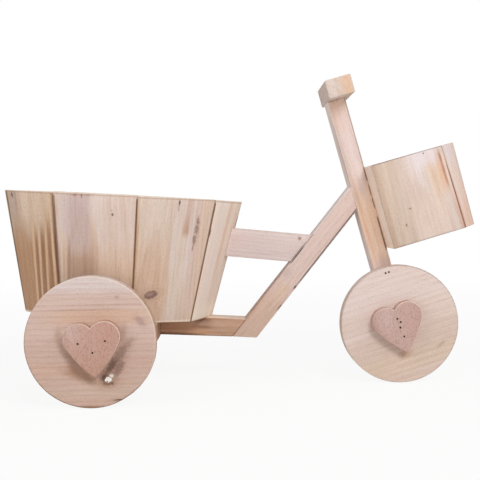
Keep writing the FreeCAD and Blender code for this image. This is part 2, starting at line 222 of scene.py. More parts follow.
def make_grain():
    """Growth rings about the pith, fibres along the board and slow drifts of tone."""
    group, given, result = group_of(
        "pine_grain",
        {"Place": "Vector", "Seed": "Float", "Bend": "Float", "Ring width": "Float",
         "Pith": "Vector", "Wander": "Float", "Taper": "Float"},
        {"Ring": "Float", "Fibre": "Float", "Drift": "Float", "Sway": "Float", "Mottle": "Float"},
    )
    apart = add(group, "ShaderNodeCombineXYZ", {0: given["Seed"], 1: given["Seed"], 2: given["Seed"]})
    own = vector(group, "ADD", given["Place"], apart.outputs[0])

    def cloud(stretch, detail, rough=0.5):
        place = vector(group, "MULTIPLY", own, stretch)
        noise = {"Vector": place, "Scale": 1.0, "Detail": detail, "Roughness": rough}
        return add(group, "ShaderNodeTexNoise", noise).outputs[0]

    sway = minus(group, cloud((7, 26, 26), 2.0), 0.5)
    ripple = minus(group, cloud((30, 160, 160), 1.0), 0.5)
    away = vector(group, "SUBTRACT", given["Place"], given["Pith"])
    round_pith = vector(group, "LENGTH", vector(group, "MULTIPLY", away, (0, 1, 1)), out=1)
    along = add(group, "ShaderNodeSeparateXYZ", {0: given["Place"]}).outputs[0]
    cone = times(group, along, given["Taper"])
    waves = times(group, sway, given["Wander"])
    reach = plus(group, round_pith, cone, waves, times(group, ripple, 0.0007), given["Bend"])
    ring = calc(group, "FRACT", calc(group, "DIVIDE", reach, given["Ring width"]))
    # One ring from its pale early wood to its dark late wood.
    ramp = add(group, "ShaderNodeValToRGB", {0: ring})
    stops = ramp.color_ramp.elements
    for stop in stops:
        stop.color = (0.12, 0.12, 0.12, 1)
    for where, level in ((0.14, 0.0), (0.5, 0.08), (0.78, 0.7), (0.88, 1.0), (0.95, 0.55)):
        stop = stops.new(where)
        stop.color = (level, level, level, 1)
    group.links.new(ramp.outputs[0], result["Ring"])
    coarse = cloud((14, 380, 380), 3.0, 0.6)
    fine = cloud((70, 1500, 1500), 2.0, 0.6)
    fibre = plus(group, times(group, coarse, 0.5), times(group, fine, 0.5))
    group.links.new(fibre, result["Fibre"])
    group.links.new(cloud((5, 21, 21), 2.0), result["Drift"])
    group.links.new(sway, result["Sway"])
    group.links.new(cloud((420, 640, 640), 3.0, 0.65), result["Mottle"])
    return group


def make_band():
    """Mask of a stripe that runs along the grain, faded at its sides and ends."""
    group, given, result = group_of(
        "grain_band",
        {"Place": "Vector", "Middle": "Float", "Half": "Float", "Soft": "Float",
         "From": "Float", "To": "Float", "Fade": "Float", "Lean": "Float"},
        {"Mask": "Float"},
    )
    parts = add(group, "ShaderNodeSeparateXYZ", {0: given["Place"]}).outputs
    lean = times(group, parts[0], given["Lean"])
    aside = calc(group, "ABSOLUTE", minus(group, minus(group, parts[1], given["Middle"]), lean))
    inner = minus(group, given["Half"], given["Soft"])
    outer = plus(group, given["Half"], given["Soft"])
    mask = smooth(group, aside, inner, outer, 1.0, 0.0)
    for end, sign in (("From", 1.0), ("To", -1.0)):
        past = times(group, minus(group, parts[0], given[end]), sign)
        less = times(group, given["Fade"], -1.0)
        mask = times(group, mask, smooth(group, past, less, given["Fade"]))
    group.links.new(mask, result["Mask"])
    return group


def make_knot():
    """Oval knot: its ragged core, the stain round it and how far it bends the rings."""
    group, given, result = group_of(
        "grain_knot",
        {"Place": "Vector", "Centre": "Vector", "Turn": "Float", "Size": "Vector",
         "Ragged": "Float", "Edge": "Float"},
        {"Core": "Float", "Halo": "Float", "Near": "Float"},
    )
    off = vector(group, "SUBTRACT", given["Place"], given["Centre"])
    turning = {"Vector": off, "Angle": given["Turn"]}
    spun = add(group, "ShaderNodeVectorRotate", turning, rotation_type="Z_AXIS").outputs[0]
    scaled = vector(group, "DIVIDE", vector(group, "MULTIPLY", spun, (1, 1, 0)), given["Size"])
    grit = add(group, "ShaderNodeTexNoise", {"Vector": given["Place"], "Scale": 420.0, "Detail": 2.0})
    jitter = times(group, minus(group, grit.outputs[0], 0.5), given["Ragged"])
    near = plus(group, vector(group, "LENGTH", scaled, out=1), jitter)
    group.links.new(near, result["Near"])
    inside = minus(group, 1.0, given["Edge"])
    outside = plus(group, 1.0, times(group, given["Edge"], 0.5))
    group.links.new(smooth(group, near, inside, outside, 1.0, 0.0), result["Core"])
    group.links.new(smooth(group, near, 0.6, 2.4, 1.0, 0.0), result["Halo"])
    return group


grain_group, band_group, knot_group = make_grain(), make_band(), make_knot()


def band(middle, half, colour, share=0.8, low=-1000, high=1000, soft=3, fade=12, lean=0.0):
    """Stripe that sways with the grain, from low to high along it; lengths in millimetres."""
    sizes = [size / 1000 for size in (middle, half, soft, low, high, fade)]
    return ("band", (*sizes, lean), tone(*colour), share)


def line(middle, half, colour, share=0.8, soft=0.4, fade=3, **reach):
    """Straight stripe, on the outer face only."""
    return ("line", *band(middle, half, colour, share, soft=soft, fade=fade, **reach)[1:])


def knot(along, aside, length, width, colour, share=0.9, turn=0.0, ragged=0.5, halo=0.35, bend=4, edge=0.5):
    """Oval with a stain round it that pushes the rings aside; lengths in millimetres."""
    along, aside, length, width, bend = (size / 1000 for size in (along, aside, length, width, bend))
    return ("knot", (along, aside, length, width, turn, ragged, edge, halo, bend), tone(*colour), share)


def soft_patch(*oval, ragged=0.4, bend=0, turn=0.0):
    """Soft oval patch that only tints the wood; used for stains and for painted shadows."""
    return knot(*oval, turn=turn, ragged=ragged, halo=0.0, bend=bend, edge=0.9)


def pine(name, place, pale, warm, late=(0.80, 0.66, 0.54, 1), ring=0.0034, pith=(0.006, 0.05),
         wander=0.004, taper=0.03, contrast=0.4, fibre=0.3, mottle=0.25, seed=0.0, marks=(),
         end=(0.84, 0.74, 0.64, 1), end_lines=0.3, joint=None, sides=None, open_edges=(1.0, 1.0),
         seam=0.0018, edge_tint=(0.15, 0.6)):
    """Raw pine for one board: place is the board's own frame, along the grain, across and inwards.

    Colours are screen values; late and end are what the ring lines and the cut ends multiply them by.
    """
    paint = bpy.data.materials.new(name)
    paint.use_nodes = True
    tree = paint.node_tree
    tree.nodes.clear()
    where = add(tree, "ShaderNodeTexCoord").outputs
    own = add(
        tree,
        "ShaderNodeMapping",
        {"Vector": where["Object"], "Location": place.translation, "Rotation": place.to_euler()},
        vector_type="TEXTURE",
    ).outputs[0]
    # The knots come first, because they push the rings aside.
    knots = []
    bend = 0.0
    for kind, sizes, tint, strength in marks:
        if kind == "knot":
            along, aside, length, width, turn, ragged, edge, halo, push = sizes
            oval = {"Place": own, "Centre": (along, aside, 0), "Turn": turn, "Size": (length, width, 1),
                    "Ragged": ragged, "Edge": edge}
            shown = add(tree, "ShaderNodeGroup", oval, node_tree=knot_group).outputs
            knots.append((shown, tint, strength, halo))
            bend = plus(tree, bend, times(tree, shown["Halo"], push))
    rings = {"Place": own, "Seed": seed, "Ring width": ring, "Pith": (0, *pith),
             "Wander": wander, "Taper": taper, "Bend": bend}
    grain = add(tree, "ShaderNodeGroup", rings, node_tree=grain_group).outputs
    colour = mix(tree, smooth(tree, grain["Drift"], 0.36, 0.64), tone(*pale), tone(*warm))
    # Stripes: bands sway with the grain, lines stay straight and on the outer face.
    depth = add(tree, "ShaderNodeSeparateXYZ", {0: own}).outputs[2]
    shifted = add(tree, "ShaderNodeCombineXYZ", {1: times(tree, grain["Sway"], 0.004)})
    swayed = vector(tree, "ADD", own, shifted.outputs[0])
    for kind, sizes, tint, strength in marks:
        if kind != "knot":
            titles = ("Middle", "Half", "Soft", "From", "To", "Fade", "Lean")
            stripe = {"Place": swayed if kind == "band" else own, **dict(zip(titles, sizes))}
            mask = add(tree, "ShaderNodeGroup", stripe, node_tree=band_group).outputs[0]
            shown = times(tree, mask, strength)
            if kind == "line":
                shown = times(tree, shown, smooth(tree, depth, 0.0006, 0.0014, 1.0, 0.0))
            colour = mix(tree, shown, colour, tint)
    # Ring lines, stronger on the cut ends, then streaks along the fibres and small specks.
    facing = vector(tree, "DOT_PRODUCT", where["Normal"], place.col[0].xyz, out=1)
    cut_end = smooth(tree, calc(tree, "ABSOLUTE", facing), 0.55, 0.85)
    lines = plus(tree, contrast, times(tree, cut_end, end_lines))
    colour = mix(tree, times(tree, grain["Ring"], lines), colour, late, "MULTIPLY")
    dark_streak = smooth(tree, grain["Fibre"], 0.46, 0.68, 0.0, fibre)
    colour = mix(tree, dark_streak, colour, (0.66, 0.52, 0.42, 1), "MULTIPLY")
    pale_streak = smooth(tree, grain["Fibre"], 0.32, 0.50, fibre * 0.4, 0.0)
    colour = mix(tree, pale_streak, colour, (0.92, 0.82, 0.72, 1))
    speck = smooth(tree, grain["Mottle"], 0.46, 0.72, 0.0, mottle)
    colour = mix(tree, speck, colour, (0.62, 0.46, 0.35, 1), "MULTIPLY")
    for outputs, tint, strength, halo in knots:
        round_it = mix(tree, 0.55, tint, (1, 0.9, 0.8, 1))
        colour = mix(tree, times(tree, outputs["Halo"], halo), colour, round_it, "MULTIPLY")
        turns = calc(tree, "FRACT", times(tree, outputs["Near"], 3.0))
        core = mix(tree, times(tree, turns, 0.35), tint, (1, 0.94, 0.88, 1), "SOFT_LIGHT")
        colour = mix(tree, times(tree, outputs["Core"], strength), colour, core)
    colour = mix(tree, cut_end, colour, mix(tree, 1.0, colour, end, "MULTIPLY"))
    # Edges tinted pale above zero and dark below: rubbing and grime on the boards, painted highlight and
    # shade on the wheel rims, the heart edges and the handlebar's underside.
    wear_and_painted_light = add(tree, "ShaderNodeAttribute", attribute_name="wear_and_painted_light").outputs["Fac"]
    edge_wear_and_light = times(tree, wear_and_painted_light, smooth(tree, grain["Mottle"], 0.35, 0.6, *edge_tint))
    colour = mix(tree, calc(tree, "MAXIMUM", edge_wear_and_light, 0.0), colour, tone(236, 219, 202))
    grime_and_edge_shade = calc(tree, "MAXIMUM", times(tree, edge_wear_and_light, -1.0), 0.0)
    colour = mix(tree, grime_and_edge_shade, colour, tone(128, 100, 80))
    # Dark seams along the joints with the next staves, fading out towards the rim.
    if joint:
        across = vector(tree, "DOT_PRODUCT", where["Normal"], place.col[1].xyz, out=1)
        dark = smooth(tree, calc(tree, "ABSOLUTE", across), 0.6, 0.9)
        if sides:
            seam_sway = 0.0016
            half_width, spread, fade_from, fade_to = sides
            parts = add(tree, "ShaderNodeSeparateXYZ", {0: own}).outputs
            half = plus(tree, times(tree, parts[0], spread), half_width)
            near = minus(tree, half, calc(tree, "ABSOLUTE", parts[1]))
            near = plus(tree, near, times(tree, grain["Sway"], seam_sway))
            dark = calc(tree, "MAXIMUM", dark, smooth(tree, near, seam * 0.28, seam, 0.95, 0.0))
            below_rim = smooth(tree, parts[0], fade_from, fade_to, 1.0, 0.15)
            left_or_right = smooth(tree, parts[1], -0.001, 0.001, *open_edges)
            dark = times(tree, dark, below_rim, left_or_right)
        colour = mix(tree, dark, colour, tone(*joint))
    # The fibres stand up a little, the ring lines lie lower.
    lift = minus(tree, grain["Fibre"], times(tree, grain["Ring"], 0.35))
    relief = add(tree, "ShaderNodeBump", {"Strength": 0.35, "Distance": 0.0006, "Height": lift})
    shader = add(
        tree,
        "ShaderNodeBsdfPrincipled",
        {
            "Base Color": colour,
            "Roughness": smooth(tree, grain["Ring"], 0.0, 1.0, 0.74, 0.58),
            "Normal": relief.outputs[0],
            "Specular IOR Level": 0.28,
        },
    )
    add(tree, "ShaderNodeOutputMaterial", {"Surface": shader.outputs[0]})
    return paint


def grain_frame(middle, along, inwards):
    """Board's own frame: along the grain, across to the right as seen from outside, and inwards."""
    along = Vector(along).normalized()
    inwards = Vector(inwards)
    inwards = (inwards - along * inwards.dot(along)).normalized()
    turn = Matrix((along, inwards.cross(along), inwards)).transposed().to_4x4()
    return Matrix.Translation(middle) @ turn


def ease_edges(mesh, width):
    """Round off every sharp edge and mark the rounding as worn."""
    sharp_turn = 0.5
    shape = bmesh.new()
    shape.from_mesh(mesh)
    bmesh.ops.remove_doubles(shape, verts=shape.verts[:], dist=1e-6)
    wear_and_painted_light = shape.faces.layers.float.new("wear_and_painted_light")
    joining = [edge for edge in shape.edges if len(edge.link_faces) == 2]
    sharp = [edge for edge in joining if edge.calc_face_angle(0) > sharp_turn]
    made = bmesh.ops.bevel(
        shape, geom=sharp, offset=width, offset_type="OFFSET", segments=2, profile=0.5,
        affect="EDGES", clamp_overlap=True,
    )
    for face in made["faces"]:
        face[wear_and_painted_light] = 1.0
    bmesh.ops.recalc_face_normals(shape, faces=shape.faces[:])
    for face in shape.faces:
        face.smooth = True
    shape.to_mesh(mesh)
    shape.free()
    mesh.set_sharp_from_angle(angle=math.radians(50))


def sawn_board(name, near, far, ease=0.0008):
    """Board between two matching loops of corners, its edges eased with sandpaper."""
    count = len(near)
    sides = [(i, i + count, (i + 1) % count + count, (i + 1) % count) for i in range(count)]
    mesh = bpy.data.meshes.new(name)
    faces = [tuple(range(count)), tuple(range(2 * count - 1, count - 1, -1))] + sides
    mesh.from_pydata([*near, *far], [], faces)
    ease_edges(mesh, ease)
    return mesh


def settle(mesh, paint, slot, *nodes):
    """Put a finished piece on the frame in place of its CAD nodes."""
    mesh.materials.clear()
    mesh.materials.append(paint)
    piece = bpy.data.objects.new(mesh.name, mesh)
    scene.collection.objects.link(piece)
    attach(piece, "root")
    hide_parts(*nodes)


def batten(name, place, outline, width=batten_width):
    """Batten from its side view in a frame, drawn out evenly to both sides of the middle."""
    sides = [[place @ Vector((x, y, z)) for x, z in outline] for y in (-width / 2, width / 2)]
    return sawn_board(name, *sides)


def set_wear_and_light(mesh, way, least, change):
    """Change the edge tint of the faces that look that way, for wear, grime and painted light."""
    wear_and_painted_light = mesh.attributes["wear_and_painted_light"].data
    for face in mesh.polygons:
        if face.normal.dot(Vector(way)) > least:
            wear_and_painted_light[face.index].value = change(wear_and_painted_light[face.index].value)


rail_along = rear_frame.col[0].xyz
board_outline = [(board_back, 0), (board_back, -board_depth), (board_front, -board_depth), (board_front, 0)]
board_mesh = batten("cross_board", rear_frame, board_outline, board_length)
board_grain_at = rear_frame @ Vector((-0.01363, 0, -board_depth / 2))
board_pine = pine(
    "cross_board_pine", grain_frame(board_grain_at, (0, 1, 0), rear_frame.col[2].xyz),
    (182, 148, 120), (168, 132, 104), ring=0.0042, pith=(0.01, 0.06), seed=1.3, contrast=0.6,
)
settle(board_mesh, board_pine, "frame_pine", "axle_board")
rail_outline = [(board_front, -rail_rear_depth), (rail_end, -rail_depth), (rail_top_end, 0), (board_front, 0)]
rail_mesh = batten("under_rail", rear_frame, rail_outline)
set_wear_and_light(rail_mesh, (0, 0, -1), 0.2, lambda wear_and_painted_light: -1.4 * wear_and_painted_light)
rail_grain_at = rear_frame @ Vector((0.08781, -batten_width / 2, -0.00986))
rail_pine = pine(
    "under_rail_pine", grain_frame(rail_grain_at, rail_along, (0, 1, 0)),
    (200, 164, 140), (190, 148, 123), ring=0.0036, pith=(-0.012, 0.02), seed=2.1, contrast=0.45,
    marks=[
        # Painted light: the rear end under the bucket is painted lighter and warmer, lifting the bucket's
        # shadow.
        band(0, 20, (212, 166, 134), 0.9, high=10, fade=10, soft=4),
        # Partly dark wood, partly painted shadow where the bucket's foot meets the rail.
        band(-3, 6, (136, 98, 76), low=-5, high=12, fade=6),
        line(9.2, 1.2, (128, 98, 80), 0.7, high=4, soft=0.6, fade=10),
        band(-2, 1.6, (216, 184, 164), 0.6, low=-10),
        # Painted light on the top face, which lies in the bucket's shadow.
        band(-10.6, 1.3, (255, 236, 220), 0.9, low=-6, soft=0.4, fade=10),
    ],
)
settle(rail_mesh, rail_pine, "frame_pine", "lower_rail")

# Bucket staves: nine flat tapered boards, bevelled to meet round the floor and pinned to it and to
# a hoop inside the rim. Offcuts of pine, no two alike in tone; the joints stand slightly open.

bucket_staves = 9
stave_height = 0.1256
stave_thickness = 0.009
stave_rim_radius = 0.1277
stave_foot_radius = 0.1010
stave_gap = 0.0002
stave_shrink = 0.0003
stave_height_step = 0.0002
fine_ease = 0.0007
stave_mitre = math.cos(math.pi / bucket_staves)


def geometry(tree, kind, inputs=None, **settings):
    return add(tree, kind, inputs, **settings).outputs


def painted(group, result, form, material):
    """Last nodes of a geometry tree: plain mesh with its material."""
    solid = geometry(group, "GeometryNodeRealizeInstances", {"Geometry": form})[0]
    shown = geometry(group, "GeometryNodeSetMaterial", {"Geometry": solid, "Material": material})[0]
    group.links.new(shown, result["Geometry"])


def make_stave_tree():
    """One stave between two joints of the ring; angles run from the near side towards the front."""
    sizes = ("Foot radius", "Rim radius", "Height", "Thickness", "Start at foot", "Start at rim",
             "End at foot", "End at rim", "Gap")
    group, given, result = group_of(
        "stave",
        {**{title: "Float" for title in sizes}, "Place": "Vector", "Turn": "Rotation",
         "Material": "Material"},
        {"Geometry": "Geometry"},
        "GeometryNodeTree",
    )
    cube = geometry(group, "GeometryNodeMeshCube", {0: (1, 1, 1), 1: 5, 2: 2, 3: 9})
    unit = vector(group, "ADD", geometry(group, "GeometryNodeInputPosition")[0], (0.5, 0.5, 0.5))
    across, deep, up = geometry(group, "ShaderNodeSeparateXYZ", {0: unit})[:3]
    inset = times(group, deep, given["Thickness"], 1 / stave_mitre)

    def edge(side):
        ends = []
        for level in ("foot", "rim"):
            angle = given[side + " at " + level]
            radius = minus(group, given[level.capitalize() + " radius"], inset)
            x = times(group, radius, calc(group, "SINE", angle))
            y = times(group, radius, times(group, calc(group, "COSINE", angle), -1.0))
            z = given["Height"] if level == "rim" else 0.0
            ends.append(geometry(group, "ShaderNodeCombineXYZ", {0: x, 1: y, 2: z})[0])
        way = vector(group, "SUBTRACT", ends[1], ends[0])
        risen = add(group, "ShaderNodeVectorMath", {0: way, 3: up}, operation="SCALE").outputs[0]
        return vector(group, "ADD", ends[0], risen)

    left = edge("Start")
    width = vector(group, "SUBTRACT", edge("End"), left)
    open_share = calc(group, "DIVIDE", given["Gap"], vector(group, "LENGTH", width, out=1))
    kept = plus(group, times(group, across, minus(group, 1.0, open_share)), times(group, open_share, 0.5))
    moved = add(group, "ShaderNodeVectorMath", {0: width, 3: kept}, operation="SCALE").outputs[0]
    place = vector(group, "ADD", left, moved)
    board = geometry(group, "GeometryNodeSetPosition", {"Geometry": cube["Mesh"], "Position": place})
    stood = geometry(
        group,
        "GeometryNodeTransform",
        {"Geometry": board[0], "Translation": given["Place"], "Rotation": given["Turn"]},
    )
    painted(group, result, stood[0], given["Material"])
    return group


def grown(name, group, inputs, seeds=None):
    """Plain mesh that a geometry tree gives with these named inputs."""
    start = seeds or bpy.data.meshes.new(name + "_seed")
    maker = bpy.data.objects.new(name + "_maker", start)
    scene.collection.objects.link(maker)
    modifier = maker.modifiers.new("maker", "NODES")
    modifier.node_group = group
    for item in group.interface.items_tree:
        if item.item_type == "SOCKET" and item.in_out == "INPUT" and item.name in inputs:
            modifier[item.identifier] = inputs[item.name]
    shown = maker.evaluated_get(bpy.context.evaluated_depsgraph_get())
    mesh = bpy.data.meshes.new_from_object(shown)
    mesh.name = name
    maker.modifiers.remove(modifier)
    bpy.data.objects.remove(maker)
    bpy.data.meshes.remove(start)
    return mesh


def bucket_point(degrees, radius, height):
    angle = math.radians(degrees)
    return rear_frame @ Vector((radius * math.sin(angle), -radius * math.cos(angle), height))


def stave_grain(foot, rim):
    """Grain frame of a tapered stave from its corner pairs, its half width, its spread and half length."""
    low, high = (foot[0] + foot[1]) / 2, (rim[0] + rim[1]) / 2
    place = grain_frame((low + high) / 2, high - low, (high - low).cross(foot[1] - foot[0]))
    widths = (foot[1] - foot[0]).length, (rim[1] - rim[0]).length
    length = (high - low).length
    return place, sum(widths) / 4, (widths[1] - widths[0]) / 2 / length, length / 2


joint_rim = [10.6, 51.0, 91.2, 131.0, 171.4, 211.2, 250.9, 291.2, 333.0]
joint_foot = [12.2, 51.7, 91.2, 131.3, 171.0, 211.2, 251.4, 291.2, 332.0]
stave_looks = {
    1: dict(
        pale=(222, 203, 189), warm=(217, 193, 175), ring=0.0030, pith=(-0.02, 0.05), contrast=0.28, seed=3.7,
        marks=[
            band(-22, 24, (216, 184, 160), 0.85, high=12, fade=30, soft=6),
            band(3.5, 3.5, (224, 208, 202), low=-10),
            band(13, 3.6, (199, 164, 146), 0.95, low=26, fade=4, soft=1.2, lean=0.04),
            band(18.8, 3.4, (224, 207, 203), 0.95, low=-22, soft=2, lean=0.1),
            band(22, 15, (222, 202, 196), 0.5, low=40, soft=6, fade=10),
            band(13, 6, (224, 207, 194), 0.85, high=-2, lean=0.1, fade=20),
            band(26.2, 3.5, (218, 194, 184), low=-50, soft=2),
            band(33.5, 5, (222, 194, 174), 0.7),
            line(-37.2, 1.3, (208, 168, 136), 0.85, soft=0.6, lean=-0.0714),
            line(-38.6, 0.8, (128, 92, 68), 0.85, soft=0.5, lean=-0.0714),
            line(38.4, 0.8, (126, 92, 72), soft=0.6, lean=0.0714),
            knot(-34.8, -16.3, 4.2, 7.6, (128, 97, 91), turn=0.25, halo=0.3, bend=6, edge=0.22),
            knot(-34.1, -17.4, 2, 4.4, (170, 140, 130), 0.7, turn=0.25, halo=0.0, bend=0, edge=0.6),
            knot(40.5, 26.2, 4.4, 1.7, (136, 108, 100), 0.65, ragged=1.9, halo=0.25, bend=1),
            knot(32, 25.6, 5.4, 2.2, (132, 104, 96), 0.65, ragged=2.0, halo=0.3, bend=1),
            knot(21.5, 24.6, 4.6, 2.1, (124, 96, 88), 0.7, ragged=2.0, halo=0.3, bend=1),
            knot(13, 24, 3, 0.9, (150, 118, 104), 0.7, ragged=1.2, halo=0.3, bend=1),
            knot(58.5, 2.6, 3, 0.8, (70, 55, 52), ragged=0.4, halo=0.4, bend=0),
            knot(53, 2.6, 2.6, 0.7, (170, 140, 128), 0.7, ragged=0.8, halo=0.3, bend=0),
        ],
    ),
    2: dict(
        # Painted light: base tones paler than the wood's own, standing in for the light this right-facing
        # stave misses.
        pale=(246, 231, 221), warm=(243, 224, 210), ring=0.0046, pith=(0.03, 0.03), contrast=0.3, seed=5.1,
        open_edges=(1.0, 0.2),
        marks=[
            band(-14, 10, (244, 230, 222), 0.7),
            band(10, 8, (238, 216, 200), 0.75, soft=4),
            band(33, 6, (244, 224, 206), 0.75),
            # Painted highlight: pale band along the foot.
            band(0, 60, (255, 242, 226), 0.7, high=-50, soft=4, fade=8),
            band(42, 1.6, (226, 214, 210), lean=0.07),
            knot(40.5, 40.5, 8, 2.2, (112, 90, 88), 0.8, turn=-0.07, ragged=0.8, halo=0.3),
            knot(27, 38.5, 4, 1.2, (150, 122, 112), 0.7, turn=-0.07, ragged=0.9, halo=0.2),
            band(6, 3, (230, 198, 172), 0.7, low=-12, soft=2, fade=20, lean=0.04),
            knot(30, -39.8, 4, 1.7, (66, 48, 42), turn=-0.07, ragged=0.8, halo=0.3),
        ],
    ),
    3: dict(pale=(222, 204, 192), warm=(214, 189, 170), seed=6.3, contrast=0.4,
            marks=[band(10, 9, (211, 182, 160), 0.7), knot(20, -18, 6, 4, (140, 104, 88))]),
    4: dict(pale=(216, 192, 176), warm=(208, 178, 156), seed=7.7, ring=0.004, contrast=0.5,
            marks=[band(-22, 6, (224, 206, 196), 0.7)]),
    5: dict(pale=(224, 206, 196), warm=(218, 196, 180), seed=8.2, contrast=0.35, pith=(-0.03, 0.04),
            marks=[band(20, 12, (212, 184, 162), 0.7), knot(-30, 12, 7, 5, (148, 112, 98))]),
    6: dict(pale=(214, 186, 166), warm=(203, 170, 146), seed=9.4, ring=0.0042, contrast=0.55,
            marks=[band(-10, 4, (226, 202, 184), 0.7), band(12, 3, (226, 202, 184), 0.6)]),
    7: dict(pale=(221, 201, 188), warm=(214, 188, 170), seed=10.6, contrast=0.4, pith=(0.02, 0.06),
            marks=[band(18, 8, (208, 180, 164), 0.7), knot(30, 10, 3, 2, (132, 100, 86))]),
    8: dict(
        pale=(224, 202, 182), warm=(218, 190, 164), ring=0.0052, pith=(0.01, 0.07), contrast=0.35,
        seed=11.9, fibre=0.35, mottle=0.45, open_edges=(0.6, 0.9),
        marks=[
            band(4, 50, (184, 142, 108), 0.92, high=22, fade=24, soft=4),
            band(-24, 12, (188, 148, 116), 0.6, high=30, fade=20, soft=6),
            band(40, 4, (190, 150, 122), 0.6, low=20, fade=20, lean=0.05),
            band(-2.6, 2, (226, 190, 156), 0.9, high=40, fade=24, soft=1, lean=0.089),
            band(7.6, 2, (226, 190, 156), 0.85, high=40, fade=24, soft=1, lean=0.113),
            band(20, 2, (224, 188, 154), 0.85, high=42, fade=24, soft=1, lean=0.12),
            band(32.8, 2.1, (228, 192, 158), 0.9, high=44, fade=24, soft=1, lean=0.06),
            line(37.6, 1.6, (176, 134, 106), 0.4, soft=1.2, lean=0.062),
            # Painted shadow along the joint, where the next stave's edge stands proud of this one.
            line(38.7, 1.6, (100, 72, 58), 0.9, high=30, soft=0.7, lean=0.062, fade=20),
            line(39.2, 0.7, (96, 70, 58), 0.85, low=20, lean=0.062, fade=10),
            line(38, 2.4, (112, 80, 64), 0.75, high=40, soft=1.2, fade=30, lean=0.062),
            line(-38.5, 1.4, (104, 84, 70), 0.85, soft=0.6, lean=-0.062),
            band(-33, 8, (182, 154, 136), low=30, fade=20, soft=6, lean=0.06),
            band(26.8, 3.4, (158, 116, 86), 0.75, high=34, fade=16, soft=2, lean=0.09),
            band(13.8, 3.4, (150, 110, 84), 0.75, high=24, fade=16, soft=1.6, lean=0.115),
            band(2.6, 2.8, (150, 110, 84), 0.7, high=20, fade=16, soft=1.4, lean=0.1),
            band(-35, 3, (205, 188, 182), 0.7, low=30, lean=0.06),
            knot(58.6, -31.5, 3.2, 1.4, (92, 74, 70), 0.85, ragged=0.8, halo=0.4),
        ],
    ),
    9: dict(
        pale=(224, 206, 197), warm=(220, 199, 187), ring=0.0048, pith=(-0.01, 0.08), contrast=0.25, seed=13.0,
        open_edges=(0.6, 1.0),
        marks=[
            band(14, 32, (222, 193, 169), 0.9, high=6, fade=22, soft=6),
            band(-5, 6, (212, 184, 164), low=-30, high=36, fade=16),
            band(-18, 17, (188, 156, 134), 0.9, high=10, fade=16, soft=6),
            band(-17, 11.5, (202, 180, 175), 0.95, low=8, soft=4),
            band(-31.5, 3, (212, 194, 190), low=12, fade=10),
            band(-36.8, 1, (172, 142, 122), 0.5, high=22, soft=1, lean=-0.082),
            band(-34.4, 1, (226, 198, 172), 0.75, low=-30, high=26, soft=0.7, fade=8),
            band(-30.4, 1.1, (226, 196, 166), 0.7, low=-30, high=22, soft=0.7, fade=8),
            band(-26.8, 1.4, (176, 144, 130), 0.7, high=16, soft=0.7, fade=10),
            band(-12, 1.2, (172, 140, 124), 0.5, high=12, soft=0.8, fade=10),
            knot(43.9, 16.8, 1.4, 1.1, (92, 70, 64), ragged=0.6, halo=0.3, bend=0.8),
            knot(48, 16, 0.8, 0.6, (150, 120, 108), 0.6, ragged=0.6, halo=0.2, bend=0),
            knot(61.4, -20, 1.2, 2, (150, 118, 104), 0.7, ragged=1.0, halo=0.2, bend=0),
            knot(60.6, -13.2, 2, 0.8, (128, 98, 86), 0.75, ragged=1.0, halo=0.3, bend=0),
            line(-14, 12, (172, 140, 124), 0.5, low=61.2, soft=4, fade=0.8),
        ],
    ),
}
rim_end = (0.97, 0.92, 0.89, 1)
rim_fade = (0.0045, 0.0028)
stave_tree = make_stave_tree()
for number, looks in stave_looks.items():
    start, end = number - 1, number % bucket_staves
    angles = [joint_foot[start], joint_rim[start], joint_foot[end], joint_rim[end]]
    if end < start:
        angles[2] += 360
        angles[3] += 360
    foot = [bucket_point(angle, stave_foot_radius, 0) for angle in angles[0::2]]
    rim = [bucket_point(angle, stave_rim_radius, stave_height) for angle in angles[1::2]]
    own, half_width, spread, top = stave_grain(foot, rim)
    sides = (half_width, spread, top - rim_fade[0], top - rim_fade[1])
    end_at = top * 1000
    rim_lines_and_foot_highlight = [
        band(0, 60, (176, 142, 120), 0.45, low=end_at - 2.6, fade=0.4, soft=4),
        band(0, 60, (236, 222, 208), 0.75, low=end_at - 1.3, fade=0.3, soft=4),
        # Painted highlight along the foot: the lower edge painted pale, as if catching the light.
        band(0, 60, (244, 226, 208), 0.85, high=1.9 - end_at, fade=0.4, soft=4),
    ]
    looks["marks"] = looks["marks"] + rim_lines_and_foot_highlight
    stave_pine = pine(
        "stave_%d_pine" % number, own, joint=(140, 102, 78), sides=sides, end=rim_end, **looks
    )
    shrink = stave_shrink * ((number * 5) % 3) / 2
    mesh = grown(
        "tub_stave_%d" % number,
        stave_tree,
        {
            "Foot radius": stave_foot_radius - shrink,
            "Rim radius": stave_rim_radius - shrink,
            "Height": stave_height - stave_height_step * (number % 3),
            "Thickness": stave_thickness,
            "Start at foot": math.radians(angles[0]),
            "Start at rim": math.radians(angles[1]),
            "End at foot": math.radians(angles[2]),
            "End at rim": math.radians(angles[3]),
            "Gap": stave_gap,
            "Place": rear_frame.translation,
            "Turn": rear_frame.to_euler(),
            "Material": stave_pine,
        },
    )
    ease_edges(mesh, fine_ease)
    settle(mesh, stave_pine, "bucket_pine", "bucket_stave_%d" % number)

# Bucket floor and rim hoop: a nine-sided pine board that the staves stand round, and a thin split
# strip bent round inside the rim and pinned through every stave.

first_joint = 11.2
joint_step = 360 / bucket_staves
floor_thickness = 0.012
hoop_low, hoop_high = 0.1061, 0.1241
hoop_thickness = 0.003
strip_ease = 0.0005
fitting_gap = 0.0001


def inside_ring(height, inset):
    """Corners of the even nine-sided ring inside the staves at a height."""
    outside = stave_foot_radius + (stave_rim_radius - stave_foot_radius) * height / stave_height
    radius = outside - (stave_thickness + inset) / stave_mitre
    return [bucket_point(first_joint + joint_step * i, radius, height) for i in range(bucket_staves)]


